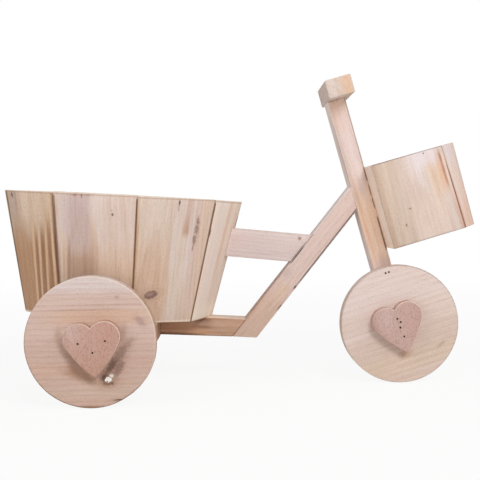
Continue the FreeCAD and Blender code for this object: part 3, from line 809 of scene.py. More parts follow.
def strip_hoop(name, outer_low, outer_high, inner_high, inner_low):
    """Thin strip bent round a ring of corners, from its four edge lines."""
    count = len(outer_low)
    edges = [outer_low, outer_high, inner_high, inner_low]
    faces = []
    for k in range(4):
        for i in range(count):
            j = (i + 1) % count
            m = (k + 1) % 4
            faces.append((k * count + i, k * count + j, m * count + j, m * count + i))
    mesh = bpy.data.meshes.new(name)
    mesh.from_pydata([corner for edge in edges for corner in edge], [], faces)
    ease_edges(mesh, strip_ease)
    return mesh


floor_mesh = sawn_board("tub_floor", inside_ring(floor_thickness, fitting_gap), inside_ring(0, fitting_gap))
floor_top = rear_frame @ Vector((0, 0, floor_thickness))
floor_pine = pine(
    "tub_floor_pine", grain_frame(floor_top, rail_along, -rear_frame.col[2].xyz),
    (214, 188, 168), (203, 172, 148), ring=0.0045, pith=(0.02, 0.05), seed=14.2, contrast=0.6,
    marks=[knot(30, -35, 8, 6, (138, 102, 86)), knot(-50, 20, 4, 3, (128, 94, 80)),
           band(-4, 0.8, (110, 80, 62), soft=0.4)],
)
settle(floor_mesh, floor_pine, "floor_pine", "bucket_floor")
hoop_mesh = strip_hoop(
    "tub_hoop",
    inside_ring(hoop_low, fitting_gap),
    inside_ring(hoop_high, fitting_gap),
    inside_ring(hoop_high, hoop_thickness),
    inside_ring(hoop_low, hoop_thickness),
)
hoop_pine = pine(
    "tub_hoop_pine", grain_frame(rear_frame @ Vector((0, 0, hoop_low)), rail_along, rear_frame.col[2].xyz),
    (216, 190, 166), (204, 174, 148), ring=0.003, seed=15.5, contrast=0.35,
)
settle(hoop_mesh, hoop_pine, "hoop_strip", "bucket_rim_hoop")

# Diagonal brace and upper rail: sawn battens. The brace's foot is cut flush with the rail's
# underside; the upper rail is scribed to the bucket and butted to the brace, where a gap shows.

front_axle = Vector((0.16646, 0.0, 0.0625))
post_lean = math.radians(15.2)
post_frame = Matrix.Translation(front_axle) @ Matrix.Rotation(-post_lean, 4, "Y")
post_rear, post_front = -0.0084, 0.0112
brace_along = Vector((math.cos(brace_rise), 0, math.sin(brace_rise)))
brace_over = Vector((-math.sin(brace_rise), 0, math.cos(brace_rise)))


def met(start, along, point, normal):
    """Where a line from the start meets the plane through a point."""
    return start + along * ((point - start).dot(normal) / along.dot(normal))


def on_post(along, aside, up):
    return post_frame @ Vector((along, aside, up))


heel = rear_frame @ Vector((brace_heel, 0, -rail_depth))
heel_back = rear_frame @ Vector((rail_end, 0, -rail_depth))
post_face = (on_post(post_rear, 0, 0), post_frame.col[0].xyz)
brace_corners = [heel, met(heel, brace_along, *post_face), met(heel_back, brace_along, *post_face), heel_back]
brace_mesh = batten("brace", Matrix(), [(corner.x, corner.z) for corner in brace_corners])
set_wear_and_light(brace_mesh, (0, 0, 1), 0.2, lambda wear_and_painted_light: 0.0)
near_side = Vector((0, -batten_width / 2, 0))
brace_grain_at = heel_back + brace_along * 0.10217 - brace_over * 0.01035 + near_side
brace_pine = pine(
    "brace_pine", grain_frame(brace_grain_at, brace_along, (0, 1, 0)),
    (227, 208, 204), (223, 201, 195), ring=0.0042, pith=(0.02, 0.02), seed=16.1, contrast=0.25,
    marks=[
        band(0, 20, (216, 185, 166), 0.85, high=-30, fade=30, soft=6),
        band(-11.2, 1.2, (250, 238, 234), low=-10, soft=0.4),
        band(-4, 2.2, (228, 204, 192), 0.6, low=0),
        band(5.5, 1.6, (226, 198, 184), 0.6, low=-20),
        soft_patch(-32, 1, 12, 6, (216, 186, 154), 0.45, ragged=1.2, bend=2),
        knot(-27, 3.5, 5, 2.2, (208, 172, 138), 0.4, ragged=1.4, halo=0.0, bend=1, edge=0.8),
        line(-10.4, 1, (50, 37, 35), 0.95, low=-2, high=22, fade=4),
        line(-10.3, 0.5, (110, 86, 80), 0.85, low=24, high=38),
        knot(-19, 9.8, 2.6, 1.3, (72, 56, 52), ragged=0.7, halo=0.3),
        knot(-46, 10, 4, 1, (110, 88, 82), 0.85, ragged=0.7, halo=0.3),
        knot(-12, -6, 5, 3, (196, 176, 172), 0.7, halo=0.2),
        line(10.1, 1.1, (94, 76, 78), 0.85, low=-14, high=95, fade=10),
    ],
)
settle(brace_mesh, brace_pine, "frame_pine", "diagonal_brace")
upper_pitch = math.radians(5.7)
upper_depth = 0.0305
upper_half_width = 0.010
stave_corner_aside = 0.0025
upper_up_brace = 0.13853
upper_along = Vector((math.cos(upper_pitch), 0, -math.sin(upper_pitch)))
upper_rise = Vector((math.sin(upper_pitch), 0, math.cos(upper_pitch)))


def stave_side(number):
    """Outer corners and inward way of a stave of the even ring."""
    ends = [first_joint + joint_step * (number - 1), first_joint + joint_step * number]
    foot = [bucket_point(angle, stave_foot_radius, 0) for angle in ends]
    rim = [bucket_point(angle, stave_rim_radius, stave_height) for angle in ends]
    return foot, rim, (rim[0] - foot[0]).cross(foot[1] - foot[0]).normalized()


high_front = heel_back + brace_along * upper_up_brace
low_front = met(high_front - upper_rise * upper_depth, upper_along, heel_back, brace_over)
upper_loops = []
for y, number in ((-upper_half_width, 2), (stave_corner_aside, 2), (upper_half_width, 3)):
    foot, rim, inwards = stave_side(number)
    ends = [corner + Vector((0, y, 0)) for corner in (low_front, high_front)]
    low_rear, high_rear = (met(end, upper_along, foot[0], inwards) for end in ends)
    upper_loops += [low_rear, *ends, high_rear]
upper_mesh = bpy.data.meshes.new("top_rail")
upper_faces = [(0, 1, 2, 3), (11, 10, 9, 8)]
for k in (0, 4):
    upper_faces += [(k + i, k + i + 4, k + (i + 1) % 4 + 4, k + (i + 1) % 4) for i in range(4)]
upper_mesh.from_pydata(upper_loops, [], upper_faces)
ease_edges(upper_mesh, fine_ease)
upper_grain_at = (0.030, -upper_half_width, 0.1466)
upper_pine = pine(
    "top_rail_pine", grain_frame(upper_grain_at, upper_along, (0, 1, 0)),
    (230, 214, 214), (226, 208, 205), ring=0.0040, pith=(0.07, 0.02), seed=17.3, contrast=0.25, taper=0.01,
    edge_tint=(0.0, 0.2),
    marks=[
        band(-12, 3, (233, 218, 215), 0.7),
        knot(31.7, -10.6, 1.6, 1.5, (140, 112, 104), halo=0.5, bend=2),
        line(52.2, 1, (46, 34, 32), 0.92, low=23.5, high=37, soft=0.6, fade=4, lean=-1.5285),
    ],
)
settle(upper_mesh, upper_pine, "frame_pine", "upper_rail")

# Steering post and handlebar: a leaning batten with a short block nailed across its top. The post
# is nailed to the brace and carries the basket; the block's sawn ends show their rings.

post_foot, post_top = -0.030, 0.2481
post_up = post_frame.col[2].xyz
post_outline = [(post_rear, post_foot), (post_front, post_foot), (post_front, post_top),
                (post_rear, post_top)]
post_mesh = batten("post", post_frame, post_outline)
post_grain_at = on_post(0.0010, -batten_width / 2, 0.10916)
post_pine = pine(
    "post_pine", grain_frame(post_grain_at, post_up, (0, 1, 0)),
    (230, 212, 209), (228, 206, 199), ring=0.0050, pith=(-0.03, 0.03), seed=18.8, contrast=0.22, taper=0.015,
    marks=[
        band(0, 20, (246, 217, 195), 0.9, high=40, fade=30, soft=6),
        band(-5.5, 3, (228, 184, 154), 0.6, low=-30, high=45, fade=20),
        band(1, 2.2, (226, 198, 186), 0.6),
        band(-7, 1.8, (206, 186, 178), 0.6, low=20),
        band(0, 20, (238, 214, 208), 0.85, high=-41, fade=8, soft=6),
        # Painted light: lifts the handlebar's shadow on the top of the post, in a warmer tone.
        band(0, 20, (244, 216, 200), 0.85, low=127, fade=8, soft=6),
        # Painted shadow under the handlebar on the left.
        band(-5, 4, (224, 190, 172), 0.5, low=108, fade=10),
        # Painted light: lifts the basket's shadow on the right half of the post.
        band(4, 6, (255, 226, 203), 0.9, low=-36, high=40, fade=10),
        line(9.2, 0.7, (96, 70, 62), 0.85, low=46, high=62, fade=2),
        line(9.3, 0.6, (96, 70, 62), low=30, high=42),
        line(9.2, 0.6, (96, 70, 62), 0.85, low=16, high=27, fade=2),
        line(9.3, 0.8, (92, 66, 56), 0.9, low=-31, high=6, fade=2),
        line(9.4, 0.6, (146, 122, 120), 0.85, low=64),
        # Painted shadow in the gap under the handlebar.
        line(-4, 8, (150, 114, 100), 0.5, low=137.8, fade=0.5, soft=4),
        band(2.5, 4, (236, 220, 217), 0.7, low=30, high=105, fade=20),
        # Painted light: the rear side face painted as pale as a lit face.
        band(-10.4, 1.3, (252, 238, 232), soft=0.4),
    ],
)
settle(post_mesh, post_pine, "frame_pine", "steering_post")
bar_half_width, bar_half_length, bar_depth = 0.01375, 0.048, 0.0194
bar_forward = 0.0055
bar_turn = Matrix.Rotation(math.radians(-2.2), 4, "Z")
bar_frame = post_frame @ Matrix.Translation((bar_forward, 0.0, post_top)) @ bar_turn
bar_corners = [(-1, -1), (-1, 1), (1, 1), (1, -1)]
bar_under, bar_over = (
    [bar_frame @ Vector((x * bar_half_width, y * bar_half_length, z)) for x, y in bar_corners]
    for z in (0.0, bar_depth)
)
bar_mesh = sawn_board("cross_bar", bar_over, bar_under, fine_ease)
# Painted light: the underside is tinted pale, as lit from the floor below.
set_wear_and_light(bar_mesh, -post_up, 0.9, lambda wear_and_painted_light: 1.6)
bar_pine = pine(
    "cross_bar_pine",
    grain_frame(bar_frame @ Vector((0, 0, bar_depth / 2)), bar_frame.col[1].xyz, -post_up),
    (219, 200, 189), (217, 191, 174), ring=0.0075, pith=(-0.016, 0.012), wander=0.003, seed=19.4,
    contrast=0.10, fibre=0.2, end=(1.0, 0.99, 0.97, 1), end_lines=0.25, late=(0.92, 0.74, 0.58, 1),
    marks=[
        band(-8.5, 5, (226, 211, 206)),
        band(-4, 1.2, (206, 192, 172), 0.5, soft=1),
        band(7.5, 5, (226, 190, 160), 0.7),
    ],
)
settle(bar_mesh, bar_pine, "frame_pine", "handlebar")

# Front basket: back board, two side staves, two corner staves and a front stave, set wide end down
# and wide end up by turns round a floor, with a thin hoop inside the rim.

basket_up_post = 0.0803
basket_frame = post_frame @ Matrix.Translation((post_front, 0.0, basket_up_post))
basket_height = 0.0898


def basket_ring(corners, height):
    return [basket_frame @ Vector((x / 1000, y / 1000, height)) for x, y in corners]


def between(low, high, share):
    return [(a[0] + (b[0] - a[0]) * share, a[1] + (b[1] - a[1]) * share) for a, b in zip(low, high)]


def mirrored(corners):
    """Whole ring of corners from those of its near half, in millimetres."""
    return corners + [(x, -y) for x, y in reversed(corners)]


def moved_in(ring, distance):
    """Ring with each of its sides moved inwards."""
    sides = []
    for i in range(len(ring)):
        start, stop = Vector(ring[i]), Vector(ring[(i + 1) % len(ring)])
        along = (stop - start).normalized()
        sides.append((start + Vector((-along.y, along.x)) * distance, along))
    corners = []
    for i in range(len(ring)):
        (p, d), (q, e) = sides[i - 1], sides[i]
        step = ((q - p).x * e.y - (q - p).y * e.x) / (d.x * e.y - d.y * e.x)
        corners.append(tuple(p + d * step))
    return corners


basket_foot = mirrored([(0, -55), (81.2, -43), (93.5, -32)])
basket_rim = mirrored([(0, -55), (79.3, -43.28), (95.43, -28.9)])
basket_thickness = 9.0
basket_foot_in = moved_in(basket_foot, basket_thickness)
basket_rim_in = moved_in(basket_rim, basket_thickness)
wall_looks = {
    "side_right": dict(
        pale=(222, 204, 195), warm=(217, 196, 184), ring=0.0044, pith=(0.0, 0.06), contrast=0.22, seed=20.1,
        open_edges=(0.25, 0.9), edge_tint=(-0.7, -0.3),
        marks=[
            band(-29.4, 14, (209, 188, 171), 0.85, soft=9, lean=-0.012),
            line(-37.9, 3, (190, 158, 134), 0.55, soft=2.8, lean=0.003),
            line(-6, 30, (158, 126, 108), 0.75, high=-43.4, soft=6, fade=0.8),
            band(-25.4, 3, (218, 198, 182), 0.6, soft=2, lean=-0.012),
            band(-16.4, 6, (212, 192, 178), 0.7, high=20, lean=-0.03),
            band(4.6, 7, (230, 216, 214), low=10, soft=5, fade=20, lean=-0.03),
            band(19, 13, (234, 222, 225), 0.85, low=28, soft=6, fade=8),
            band(20.5, 3, (229, 206, 184), low=-20, high=30, lean=-0.03),
            band(27.5, 5.5, (228, 194, 166), 0.7, low=-4, high=26, soft=4, lean=-0.02),
            band(32.2, 2.2, (228, 182, 152), 0.75, low=2, high=34, soft=1.5, lean=-0.0107),
            line(35, 1.3, (196, 144, 118), low=4, high=40, soft=1, lean=-0.0107, fade=6),
            line(38.2, 1.2, (238, 208, 192), low=-20, high=36, soft=0.8, lean=-0.0107, fade=10),
            line(37.8, 1.6, (214, 170, 148), 0.7, high=-10, soft=1, lean=-0.0107, fade=20),
            line(40.2, 0.9, (136, 82, 64), 0.92, high=24, soft=0.7, lean=-0.0107, fade=14),
            line(0, 50, (158, 140, 132), 0.6, low=44, fade=0.5),
            knot(33, 34.7, 4.2, 1.1, (168, 122, 100), 0.8, turn=0.01, ragged=1.2, halo=0.2, bend=1),
            knot(20, 34.9, 5, 1, (180, 126, 104), 0.75, turn=0.01, ragged=1.2, halo=0.2, bend=1),
            band(-3.4, 1.2, (206, 178, 160), 0.5, low=-30, high=14, soft=1, lean=0.07),
            band(6.6, 1, (206, 178, 160), 0.5, low=-30, high=8, soft=1, lean=-0.11),
            band(1.6, 1, (208, 182, 166), 0.5, low=-22, high=20, soft=1, lean=-0.03),
            band(8.6, 20, (231, 210, 198), 0.7, high=-4, soft=6, fade=20),
            knot(-9, -12.2, 0.8, 1.6, (150, 104, 84), bend=1.6),
            knot(-24.5, -21.1, 1.4, 1, (150, 104, 84), 0.85, bend=1.4),
            knot(-24, 2.7, 4, 3, (214, 188, 174), 0.55, halo=0.2, bend=5),
        ],
    ),
    "corner_right": dict(
        pale=(226, 208, 198), warm=(229, 203, 190), ring=0.004, pith=(0.02, 0.04), contrast=0.22, seed=21.2,
        open_edges=(0.6, 0.3),
        marks=[
            band(0, 20, (226, 184, 160), 0.85, high=-16, soft=4, fade=18),
            line(-9.2, 0.6, (160, 106, 84), 0.7, high=16, soft=0.7, fade=20, lean=-0.0284),
            band(-4, 2, (234, 216, 208), 0.7, lean=-0.02),
            band(4, 4, (232, 202, 188), 0.7, high=10),
            band(-2, 6, (226, 214, 217), low=26),
            line(9.2, 0.9, (190, 172, 160), 0.6, soft=0.6, lean=0.0284),
        ],
    ),
    "front": dict(pale=(224, 206, 196), warm=(216, 192, 176), seed=22.6, contrast=0.35,
                  marks=[band(6, 8, (212, 184, 164), 0.6), knot(12, -8, 4, 3, (146, 110, 94))]),
    "corner_left": dict(pale=(220, 198, 184), warm=(212, 186, 168), seed=23.7, contrast=0.4),
    "side_left": dict(pale=(222, 202, 190), warm=(214, 188, 170), seed=24.9, ring=0.0046, contrast=0.4,
                      marks=[band(-10, 10, (210, 180, 158), 0.6), knot(10, 12, 6, 4, (146, 110, 94))]),
    # Painted light: the back board is painted paler than its wood, so its rear face, turned from the lamps,
    # shows as lit.
    "back": dict(pale=(255, 240, 226), warm=(254, 232, 216), seed=25.3, contrast=0.35,
                 open_edges=(0.15, 0.15), marks=[band(20, 8, (244, 222, 206), 0.6)]),
}
wall_fade = (0.008, 0.034)
walls = len(wall_looks)
foot, rim = basket_ring(basket_foot, 0), basket_ring(basket_rim, basket_height)
foot_in, rim_in = basket_ring(basket_foot_in, 0), basket_ring(basket_rim_in, basket_height)
for i, (wall, looks) in enumerate(wall_looks.items()):
    j = (i + 1) % walls
    gap = stave_gap / (foot[j] - foot[i]).length / 2
    faces = []
    for low, high in ((foot, rim), (foot_in, rim_in)):
        steps = ((low, i, j), (low, j, i), (high, j, i), (high, i, j))
        faces.append([ring[start].lerp(ring[stop], gap) for ring, start, stop in steps])
    own, half_width, spread, top = stave_grain((foot[i], foot[j]), (rim[i], rim[j]))
    sides = (half_width, spread, *wall_fade)
    wall_pine = pine("basket_%s_pine" % wall, own, joint=(158, 108, 88), sides=sides, seam=0.0011, **looks)
    mesh = sawn_board("hamper_" + wall, *faces, fine_ease)
    settle(mesh, wall_pine, "basket_pine", "basket_" + wall)

basket_floor_top = 0.010
basket_floor_gap = 0.3
basket_hoop_low, basket_hoop_high = 0.0763, 0.0883
basket_hoop_gap = 0.05
basket_hoop_thickness = 3.0


def basket_inside(height, inset):
    """Ring of corners inside the walls at a height, moved in from the wall faces."""
    ring = between(basket_foot_in, basket_rim_in, height / basket_height)
    return basket_ring(moved_in(ring, inset), height)


basket_floor_mesh = sawn_board(
    "hamper_floor", basket_inside(basket_floor_top, basket_floor_gap), basket_inside(0, basket_floor_gap)
)
basket_floor_pine = pine(
    "hamper_floor_pine", grain_frame(basket_frame @ Vector((0.045, 0, 0.010)), (0, 1, 0), -post_up),
    (212, 186, 166), (202, 172, 148), ring=0.0042, seed=26.4, contrast=0.55,
    marks=[knot(12, 10, 6, 4, (138, 102, 86))],
)
settle(basket_floor_mesh, basket_floor_pine, "floor_pine", "basket_floor")
basket_hoop_mesh = strip_hoop(
    "hamper_hoop",
    basket_inside(basket_hoop_low, basket_hoop_gap),
    basket_inside(basket_hoop_high, basket_hoop_gap),
    basket_inside(basket_hoop_high, basket_hoop_thickness),
    basket_inside(basket_hoop_low, basket_hoop_thickness),
)
basket_hoop_pine = pine(
    "hamper_hoop_pine", grain_frame(basket_frame @ Vector((0.045, 0, 0.08)), (0, 1, 0), post_up),
    (216, 190, 166), (204, 174, 148), ring=0.003, seed=27.5, contrast=0.35,
)
settle(basket_hoop_mesh, basket_hoop_pine, "hoop_strip", "basket_rim_hoop")

# Wheels: three discs bandsawn from wide pine boards, their rims eased with a rasp. The near rear
# wheel is cut round a dark knot whose end was filled with white stopper.

wheel_radius = front_axle.z
wheel_thickness = 0.018
wheelbase = 0.314
left_wheel_back = 0.004
rear_wheel_out = board_length / 2 + wheel_thickness
front_wheel_out = batten_width / 2 + wheel_thickness


def ringed_solid(name, rings, edge_wear_and_light, sharp):
    """Solid through matching rings of points; the given function tells each face between two rings how pale
    or dark its edges are tinted, for wear and for painted edge light.
    """
    count = len(rings[0])
    points = [point for ring in rings for point in ring]
    faces = [tuple(range(count)), tuple(range(len(points) - 1, len(points) - 1 - count, -1))]
    wear_and_painted_light = [0.0, 0.0]
    for r in range(len(rings) - 1):
        for k in range(count):
            n = (k + 1) % count
            faces.append((r * count + k, (r + 1) * count + k, (r + 1) * count + n, r * count + n))
            wear_and_painted_light.append(edge_wear_and_light(r, k))
    mesh = bpy.data.meshes.new(name)
    mesh.from_pydata(points, [], faces)
    mesh.attributes.new("wear_and_painted_light", "FLOAT", "FACE").data.foreach_set("value", wear_and_painted_light)
    mesh.polygons.foreach_set("use_smooth", [True] * len(faces))
    mesh.set_sharp_from_angle(angle=math.radians(sharp))
    shape = bmesh.new()
    shape.from_mesh(mesh)
    bmesh.ops.recalc_face_normals(shape, faces=shape.faces[:])
    shape.to_mesh(mesh)
    shape.free()
    return mesh


def wheel_disc(name, centre, lumps, nicks=(), pale_side=1.0):
    """Disc with a hand-sawn rim, from its near face at the centre point back along +Y.

    A nick has its place round the rim and its spread in degrees, and its depth.
    """
    steps = 128
    ease = 0.0011
    profile = [(0.0, ease * 2.2), (0.0, ease), (ease * 0.3, ease * 0.3), (ease, 0.0)]
    profile += [(wheel_thickness - deep, inset) for deep, inset in reversed(profile)]
    rings = []
    for deep, inset in profile:
        ring = []
        for k in range(steps):
            turn = 2 * math.pi * k / steps
            wobble = sum(size * (1 + math.sin(count * turn + phase)) for count, phase, size in lumps)
            for where, spread, depth in nicks:
                wobble += depth * max(0.0, 1 - abs(math.degrees(turn) - where) / spread)
            radius = wheel_radius - inset - wobble
            ring.append(centre + Vector((radius * math.cos(turn), deep, radius * math.sin(turn))))
        rings.append(ring)

    # Painted highlight and shade on the eased rim: pale towards pale_side, dark on the opposite side.
    def edge_wear_and_light(r, k):
        turn = 2 * math.pi * (k + 0.5) / steps
        return math.cos(turn - pale_side) if r in (1, 2, 4, 5) else 0.0

    return ringed_solid(name, rings, edge_wear_and_light, 50)


rear_right_face = front_axle + Vector((-wheelbase, -rear_wheel_out, 0))
rear_left_face = front_axle + Vector((-wheelbase - left_wheel_back, rear_wheel_out, 0))
front_face = front_axle + Vector((0, -front_wheel_out, 0))
rear_right = wheel_disc(
    "rear_disc_right", rear_right_face, [(3, 0.4, 0.00006), (7, 1.9, 0.00005)],
    nicks=[(303, 6, 0.0004), (312, 4, 0.0003), (322, 5, 0.0002), (295, 4, 0.0002),
           (0, 24, 0.0008), (360, 16, 0.0010)],
)
rear_right_pine = pine(
    "rear_disc_right_pine", grain_frame(rear_right_face, (1, 0, 0.012), (0, 1, 0)),
    (212, 187, 177), (206, 178, 165), ring=0.0052, pith=(0.16, 0.03), wander=0.006, taper=0.01,
    contrast=0.30, seed=28.2, edge_tint=(0.3, 0.85),
    marks=[
        band(50, 34, (197, 167, 150), 0.6, soft=24),
        band(-60, 12, (219, 206, 204), soft=6),
        band(-24, 7, (214, 180, 156), 0.7, soft=4, low=-35, high=50, fade=20),
        band(12, 16, (203, 172, 158), 0.5, soft=6),
        band(26, 5, (208, 174, 156), 0.6, high=0, fade=20),
        band(46, 6, (206, 184, 170), 0.5),
        knot(33, 4, 8, 2.4, (168, 144, 134), 0.55, turn=0.72, ragged=1.0, halo=0.3, bend=0.6),
        knot(26.2, 13.5, 12, 4.2, (140, 116, 104), 0.7, turn=0.95, ragged=1.3, halo=0.4, bend=1),
        knot(19, 22.5, 8, 3.2, (104, 82, 74), 0.85, turn=0.95, ragged=1.3, halo=0.4, bend=1),
        knot(25.8, 25.5, 8.5, 3.8, (120, 92, 82), 0.65, turn=0.95, ragged=1.3, halo=0.3, bend=0),
        knot(14, 30, 5, 2.8, (124, 98, 84), 0.8, turn=0.9, ragged=1.3, halo=0.4, bend=0.8),
        knot(16, 39.5, 8, 5, (176, 142, 124), 0.65, ragged=0.9, halo=0.3, bend=1),
        knot(47.2, -19.1, 6, 3, (168, 138, 134), 0.75, turn=-0.8, ragged=0.6, bend=1.6),
        knot(26, -42.1, 2, 1.4, (176, 142, 134), 0.7, ragged=0.6, halo=0.3, bend=1),
        knot(10.5, 33, 3.4, 4, (146, 116, 100), 0.7, ragged=1.2, halo=0.2, bend=0),
        knot(20.5, 33.5, 3.6, 4.4, (160, 134, 120), 0.7, ragged=1.2, halo=0.2, bend=0),
        knot(12, 34.5, 2.6, 3.6, (84, 66, 58), 0.85, ragged=1.4, halo=0.2, bend=0, edge=0.3),
        knot(15.5, 39.2, 5, 1.8, (118, 92, 76), 0.8, ragged=1.2, halo=0.3, bend=0, edge=0.4),
        knot(15.6, 35.4, 3.5, 2.7, (244, 240, 234), 0.97, ragged=1.8, halo=0.0, bend=0, edge=0.2),
        knot(14.8, 37.2, 1.2, 0.6, (120, 104, 96), 0.8, ragged=1.2, halo=0.0, bend=0, edge=0.3),
        knot(19, 31.8, 2.2, 1.8, (232, 224, 214), ragged=1.5, halo=0.0, bend=0, edge=0.25),
        knot(12.8, 32.2, 1.8, 1, (88, 68, 60), 0.85, turn=0.4, ragged=1.2, halo=0.0, bend=0, edge=0.3),
        knot(19.2, 38.8, 1.4, 1.2, (110, 86, 76), 0.8, ragged=1.2, halo=0.0, bend=0, edge=0.3),
        knot(25.5, 54.8, 6.5, 0.6, (70, 54, 46), turn=0.04, ragged=0.6, halo=0.3, bend=0),
        knot(33, 52.8, 5, 1, (120, 94, 80), 0.75, turn=0.62, ragged=1.2, halo=0.2, bend=0),
        knot(40.5, 47.2, 7, 1, (140, 110, 92), 0.75, turn=0.72, ragged=1.2, halo=0.2, bend=0),
        knot(-2, 61.2, 15, 1.8, (150, 114, 92), 0.75, ragged=1.0, halo=0.2, bend=0),
        knot(27.5, 56.2, 6, 1.6, (150, 124, 112), 0.7, turn=0.45, ragged=1.0, halo=0.2, bend=0),
        # Painted shadow below the heart's left flank.
        soft_patch(-9.5, 32, 21.5, 5.2, (136, 94, 66), 0.55, turn=-0.38),
        # Painted shadow left of the heart's left lobe.
        soft_patch(-30.2, -6, 3.6, 9.5, (146, 108, 84), 0.4),
        soft_patch(44, 18, 7, 5, (196, 160, 152), 0.5, ragged=0.8, bend=1),
        # Painted shadow along the heart's lower left flank.
        soft_patch(-13.5, 18.5, 21.5, 6.2, (140, 102, 78), 0.55, turn=-0.84),
        # Painted shade along the edge of the heart's right lobe.
        soft_patch(30, -6, 12, 4, (150, 114, 94), 0.4, turn=1.35),
        # Painted shadow, warmer brown, under the heart's left lobe.
        soft_patch(-17, 25, 8, 3.6, (124, 78, 44), 0.45, turn=-0.8, ragged=0.3),
        band(-31.5, 0.7, (190, 158, 144), 0.6, low=-40, high=30, soft=0.5),
        band(-35.5, 0.6, (192, 160, 148), 0.5, low=-20, high=50, soft=0.5),
    ],
)
settle(rear_right, rear_right_pine, "wheel_pine", "rear_wheel_right")
rear_left = wheel_disc(
    "rear_disc_left", rear_left_face - Vector((0, wheel_thickness, 0)), [(4, 1.1, 0.00006), (9, 0.3, 0.00004)]
)
rear_left_pine = pine(
    "rear_disc_left_pine", grain_frame(rear_left_face, (-1, 0, 0.1), (0, -1, 0)),
    (217, 193, 180), (209, 181, 165), ring=0.0050, pith=(-0.12, 0.03), wander=0.006, taper=0.01,
    contrast=0.35, seed=29.6,
    marks=[band(20, 8, (203, 170, 150), 0.6), knot(-30, -20, 6, 4, (150, 116, 104))],
)
settle(rear_left, rear_left_pine, "wheel_pine", "rear_wheel_left")
front_disc = wheel_disc(
    "front_disc", front_face, [(3, 2.2, 0.00006), (8, 0.7, 0.00004)], pale_side=4.0
)
front_grain_rise = 0.274
front_grain = (math.cos(front_grain_rise), 0, math.sin(front_grain_rise))
front_disc_pine = pine(
    "front_disc_pine", grain_frame(front_face, front_grain, (0, 1, 0)),
    (228, 211, 205), (222, 202, 192), ring=0.0064, pith=(-0.15, 0.04), wander=0.007, taper=0.02,
    contrast=0.24, seed=30.9, end=(1.0, 0.98, 0.95, 1),
    marks=[
        band(-30, 10, (229, 213, 208), 0.6),
        band(50, 34, (210, 188, 172), 0.55, soft=24),
        band(20, 14, (212, 190, 176), 0.55, soft=6),
        band(40, 10, (216, 194, 174), 0.6, soft=5),
        # Painted shadow below the heart.
        soft_patch(-3.8, 32.2, 8.5, 4.5, (150, 98, 58), 0.45),
        knot(36, 33, 6, 1.6, (176, 152, 140), 0.5, turn=0.5, ragged=0.6, halo=0.2, bend=2),
    ],
)
settle(front_disc, front_disc_pine, "wheel_pine", "front_wheel")

# Hearts: thick hearts bandsawn across the board and rounded over by hand, nailed on over the wheel
# centres. Rough pinkish wood with paler rubbed edges, and a painted highlight along the upper right edges.

heart_width = 0.0538
heart_height = 0.0528
heart_thickness = 0.012
heart_lobe_radius = 0.0150
heart_side_bulge = 0.0014


def heart_outline():
    """Right half from the notch round the lobe and down the flank to the blunt tip, then its mirror."""
    spread = heart_width / 2 - heart_lobe_radius
    lobe_up = heart_height / 2 - heart_lobe_radius
    tip = Vector((0, -heart_height / 2))
    to_lobe = math.hypot(spread, lobe_up - tip.y)
    flank = math.atan2(spread, lobe_up - tip.y) + math.asin(heart_lobe_radius / to_lobe)
    start = math.acos(-spread / heart_lobe_radius)
    lobe_steps, flank_steps, tip_share = 28, 16, 0.93
    half = []
    for k in range(lobe_steps + 1):
        angle = start + (-flank - start) * k / lobe_steps
        outwards = Vector((math.cos(angle), math.sin(angle)))
        half.append(Vector((spread, lobe_up)) + heart_lobe_radius * outwards)
    widest = half[-1]
    outwards = Vector((math.cos(flank), -math.sin(flank)))
    for k in range(1, flank_steps + 1):
        share = tip_share * k / flank_steps
        half.append(widest.lerp(tip, share) + outwards * heart_side_bulge * 4 * share * (1 - share))
    tip_start = half[-1]
    for t in (0.17, 0.33, 0.5):
        other = Vector((-tip_start.x, tip_start.y))
        half.append(tip_start * (1 - t) ** 2 + tip * 2 * t * (1 - t) + other * t**2)
    return half + [Vector((-p.x, p.y)) for p in reversed(half[1:-1])]


def heart_block(name, centre, lean, towards):
    """Heart with its face at the centre point, grown back from the face, its edges rounded over."""
    turn = Matrix.Rotation(math.radians(-lean), 3, "Y")
    outline = heart_outline()
    sunk, ease = 0.0003, 0.0016
    profile = [(0.0, 1.0), (0.12, 0.45), (0.45, 0.12), (1.0, 0.0)]
    profile = [(sunk + ease * deep, ease * inset) for deep, inset in profile] + [(heart_thickness, 0.0)]
    rings = []
    for deep, inset in profile:
        ring = []
        for k, point in enumerate(outline):
            along = outline[(k + 1) % len(outline)] - outline[k - 1]
            inner = point - Vector((-along.y, along.x)).normalized() * inset
            ring.append(centre + turn @ Vector((inner.x, 0, inner.y)) + Vector((0, deep * towards, 0)))
        rings.append(ring)
    # Painted highlight: the edges turn paler towards the upper right, on top of the rubbing all round.
    lit_edge_side = Vector((0.6, 0, 0.8))

    def edge_wear_and_light(r, k):
        side = (rings[0][k] - centre).normalized()
        return max(0.1, 0.45 + 0.55 * side.dot(lit_edge_side)) if r in (1, 2) else 0.0

    return ringed_solid(name, rings, edge_wear_and_light, 40)


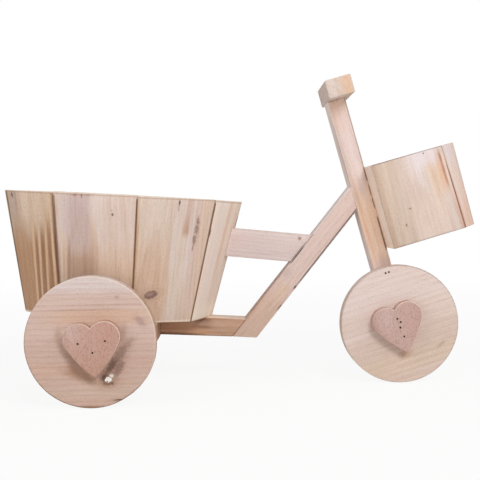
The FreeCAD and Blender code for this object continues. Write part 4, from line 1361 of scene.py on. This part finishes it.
rear_heart_lean, front_heart_lean = 5.0, 16.5
rear_heart_shift = Vector((0.003, 0, -0.0061))
front_heart_shift = Vector((-0.0018, 0, -0.0041))
heart_out = Vector((0, heart_thickness, 0))
heart_spots = {
    "rear_heart_right": (
        rear_right_face + rear_heart_shift - heart_out, rear_heart_lean, 1,
        (196, 160, 147), (190, 151, 137), 31.4,
        [band(14, 8, (194, 150, 136), 0.55, low=2, soft=12),
         band(-18, 6, (208, 182, 176), 0.7, low=10, soft=10),
         band(0, 30, (188, 148, 130), 0.6, high=-10, soft=6)],
    ),
    "rear_heart_left": (
        rear_left_face + rear_heart_shift + heart_out, rear_heart_lean, -1,
        (202, 166, 152), (194, 154, 138), 32.5, [],
    ),
    "front_heart": (
        front_face + front_heart_shift - heart_out, front_heart_lean, 1,
        (199, 168, 160), (192, 159, 150), 33.6,
        [band(-12, 8, (208, 181, 176), 0.6, low=2, soft=6),
         band(12, 6, (200, 164, 156), 0.6, soft=5)],
    ),
}
for node, (centre, lean, towards, pale, warm, seed, marks) in heart_spots.items():
    # How strongly the heart's edges are tinted pale, for the rubbing and the painted highlight.
    heart_edge_tint = (0.7, 1.0) if node == "front_heart" else (0.3, 0.95)
    upright = Matrix.Rotation(math.radians(-lean), 3, "Y") @ Vector((0, 0, 1))
    heart_pine = pine(
        node + "_pine", grain_frame(centre, upright, (0, towards, 0)), pale, warm,
        ring=0.0044, pith=(0.01, 0.012), wander=0.003, contrast=0.05, fibre=0.08, mottle=0.6,
        seed=seed, marks=marks, edge_tint=heart_edge_tint, end=(1.0, 0.95, 0.91, 1),
    )
    heart_mesh = heart_block("carved_" + node, centre, lean, towards)
    settle(heart_mesh, heart_pine, "heart_pine", node)

# Nails and brads: plain steel, darkened, driven flush. Nails hold hearts, wheels and frame; fine
# brads hold the staves to floor and hoop, those along the floors set below the surface and filled.


def make_nail_tree():
    """A nail at every seed point, going in the way and as far as the point says."""
    group, given, result = group_of(
        "nails",
        {"Geometry": "Geometry", "Head width": "Float", "Shank width": "Float", "Material": "Material"},
        {"Geometry": "Geometry"},
        "GeometryNodeTree",
    )
    head_depth = 0.0008
    head_radius = times(group, given["Head width"], 0.5)
    disc = {"Vertices": 12, "Radius": head_radius, "Depth": head_depth}
    head = geometry(group, "GeometryNodeMeshCylinder", disc)["Mesh"]
    head_in = (0, 0, head_depth / 2)
    head = geometry(group, "GeometryNodeTransform", {"Geometry": head, "Translation": head_in})[0]
    shank_radius = times(group, given["Shank width"], 0.5)
    point_radius = times(group, given["Shank width"], 0.15)
    shank = geometry(
        group,
        "GeometryNodeMeshCone",
        {"Vertices": 8, "Radius Top": point_radius, "Radius Bottom": shank_radius, "Depth": 1.0},
    )["Mesh"]
    points = geometry(group, "GeometryNodeMeshToPoints", {"Mesh": given["Geometry"]})[0]
    way = geometry(group, "GeometryNodeInputNamedAttribute", {"Name": "inwards"}, data_type="FLOAT_VECTOR")[0]
    turn = geometry(group, "FunctionNodeAlignRotationToVector", {"Vector": way}, axis="Z")[0]
    reach = geometry(group, "GeometryNodeInputNamedAttribute", {"Name": "reach"}, data_type="FLOAT")[0]
    stretch = geometry(group, "ShaderNodeCombineXYZ", {0: 1.0, 1: 1.0, 2: reach})[0]
    whole = group.nodes.new("GeometryNodeJoinGeometry")
    for form, scale in ((head, (1, 1, 1)), (shank, stretch)):
        placing = {"Points": points, "Instance": form, "Rotation": turn, "Scale": scale}
        group.links.new(geometry(group, "GeometryNodeInstanceOnPoints", placing)[0], whole.inputs[0])
    painted(group, result, whole.outputs[0], given["Material"])
    return group


nail_steel = bpy.data.materials.new("darkened_nail_steel")
nail_steel.use_nodes = True
tree = nail_steel.node_tree
tree.nodes.clear()
spot = add(tree, "ShaderNodeTexCoord").outputs["Object"]
rust = add(tree, "ShaderNodeTexNoise", {"Vector": spot, "Scale": 900.0, "Detail": 3.0}).outputs[0]
steel_tone = mix(tree, smooth(tree, rust, 0.4, 0.65), tone(74, 58, 52), tone(112, 86, 72))
steel = add(
    tree,
    "ShaderNodeBsdfPrincipled",
    {"Base Color": steel_tone, "Metallic": 0.35, "Roughness": smooth(tree, rust, 0.3, 0.7, 0.45, 0.75)},
)
add(tree, "ShaderNodeOutputMaterial", {"Surface": steel.outputs[0]})

near_in, far_in = Vector((0, 1, 0)), Vector((0, -1, 0))
down_floor = -rear_frame.col[2].xyz
slanted = (brace_over - rail_along).normalized()
post_in = -post_frame.col[0].xyz
heart_turn = Matrix.Rotation(math.radians(-rear_heart_lean), 3, "Y")
heart_marks = [(0.0127, 0.0078, 0.048), (-0.0127, 0.0078, 0.048), (0.0, -0.0020, 0.022)]
front_marks = [(-0.0034, 0.0080), (-0.0008, 0.0039), (-0.0027, -0.0017), (-0.0013, -0.0118)]
wheel_marks = [(-0.0004, 0.0564), (0.0032, 0.0564)]
pair = [Vector((0, side * batten_width / 4, 0)) for side in (-1, 1)]
brace_foot_nail = heel + brace_along * 0.00368
brace_upper_nail = heel + brace_along * 0.10517
post_nail = on_post(post_front, 0, 0.14147)
bar_nail = on_post((post_rear + post_front) / 2, 0, post_top + bar_depth)
back_nails = [basket_frame @ Vector((0.009, 0, basket_height * share)) for share in (0.3, 0.8)]
floor_edge = 0.08586
floor_spots = [(board_back + board_width * share, side * stave_foot_radius / 3)
               for share in (0.25, 0.75) for side in (-1, 1)]
floor_spots += [(board_front + (floor_edge - board_front) * share, 0) for share in (0.3, 0.7)]


def heart_nails(node, way):
    middle = heart_spots[node][0]
    return [(middle + heart_turn @ Vector((x, 0, z)), way, deep) for x, z, deep in heart_marks]


# Head width, shank width, how deep the head is sunk; each nail's place, way in and length.
nail_groups = {
    "rear_heart_nails_right": (0.0019, 0.0016, 0.0, heart_nails("rear_heart_right", near_in)),
    "rear_heart_nails_left": (0.0019, 0.0016, 0.0, heart_nails("rear_heart_left", far_in)),
    "front_heart_nails": (
        0.0020, 0.0018, 0.0,
        [(on_post(x, -front_wheel_out - heart_thickness, z), near_in, 0.048) for x, z in front_marks]),
    "front_wheel_nails": (
        0.0020, 0.0018, -0.0001, [(on_post(x, -front_wheel_out, z), near_in, 0.036) for x, z in wheel_marks]),
    "floor_nails": (
        0.0028, 0.0018, -0.0001,
        [(rear_frame @ Vector((x, y, floor_thickness)), down_floor, 0.024) for x, y in floor_spots]),
    "brace_nails": (
        0.0024, 0.0018, 0.0008,
        [(brace_foot_nail + side, slanted, 0.040) for side in pair]
        + [(brace_upper_nail + side, brace_over, 0.040) for side in pair]),
    "post_nails": (0.0028, 0.0018, 0.0, [(post_nail + side, post_in, 0.034) for side in pair]),
    "handlebar_nails": (0.0028, 0.0018, 0.0, [(bar_nail + side, -post_up, 0.038) for side in pair]),
    "basket_back_nails": (0.0028, 0.0018, 0.0, [(place, post_in, 0.021) for place in back_nails]),
}
brad_length = 0.0115


def brads(foot, rim, share_up, shares, inwards):
    """Brads in a row across a stave, between its corner pairs at foot and rim."""
    left, right = (foot[side].lerp(rim[side], share_up) for side in (0, 1))
    return [(left.lerp(right, share), inwards, brad_length) for share in shares]


rim_shares = [0.53, 0.45, 0.5, 0.42, 0.56, 0.48, 0.52, 0.14, 0.36]
floor_shares = [0.22, 0.78]
rim_level, floor_level = 0.1206, 0.006
rim_brads, floor_brads = [], []
for number in range(1, bucket_staves + 1):
    foot, rim, inwards = stave_side(number)
    rim_brads += brads(foot, rim, rim_level / stave_height, [rim_shares[number - 1]], inwards)
    floor_brads += brads(foot, rim, floor_level / stave_height, floor_shares, inwards)
nail_groups["bucket_rim_brads"] = (0.0013, 0.0010, 0.0002, rim_brads)
nail_groups["bucket_floor_brads"] = (0.0017, 0.0011, 0.0009, floor_brads)
rim_places = {"side_right": [0.726], "front": [0.5], "side_left": [0.274], "back": floor_shares}
basket_rim_level, basket_floor_level = 0.0872, 0.005
basket_rim_brads, basket_floor_brads = [], []
ring_foot, ring_rim = basket_ring(basket_foot, 0), basket_ring(basket_rim, basket_height)
for i, wall in enumerate(wall_looks):
    foot, rim = ([ring[i], ring[(i + 1) % walls]] for ring in (ring_foot, ring_rim))
    inwards = (rim[0] - foot[0]).cross(foot[1] - foot[0]).normalized()
    narrow = wall in ("corner_right", "front", "corner_left")
    floor_places = [0.5] if narrow else floor_shares
    basket_rim_brads += brads(foot, rim, basket_rim_level / basket_height, rim_places.get(wall, []), inwards)
    basket_floor_brads += brads(foot, rim, basket_floor_level / basket_height, floor_places, inwards)
nail_groups["basket_rim_brads"] = (0.0015, 0.0011, 0.0, basket_rim_brads)
nail_groups["basket_floor_brads"] = (0.0017, 0.0011, 0.0009, basket_floor_brads)

nail_tree = make_nail_tree()
for node, (head, shank, sunk, places) in nail_groups.items():
    seeds = bpy.data.meshes.new(node + "_seeds")
    seeds.from_pydata([at + way * sunk for at, way, deep in places], [], [])
    ways = [value for at, way, deep in places for value in way]
    seeds.attributes.new("inwards", "FLOAT_VECTOR", "POINT").data.foreach_set("vector", ways)
    reaches = [deep - sunk for at, way, deep in places]
    seeds.attributes.new("reach", "FLOAT", "POINT").data.foreach_set("value", reaches)
    sizes = {"Head width": head, "Shank width": shank, "Material": nail_steel}
    mesh = grown("driven_" + node, nail_tree, sizes, seeds)
    settle(mesh, nail_steel, "nail_steel", node)
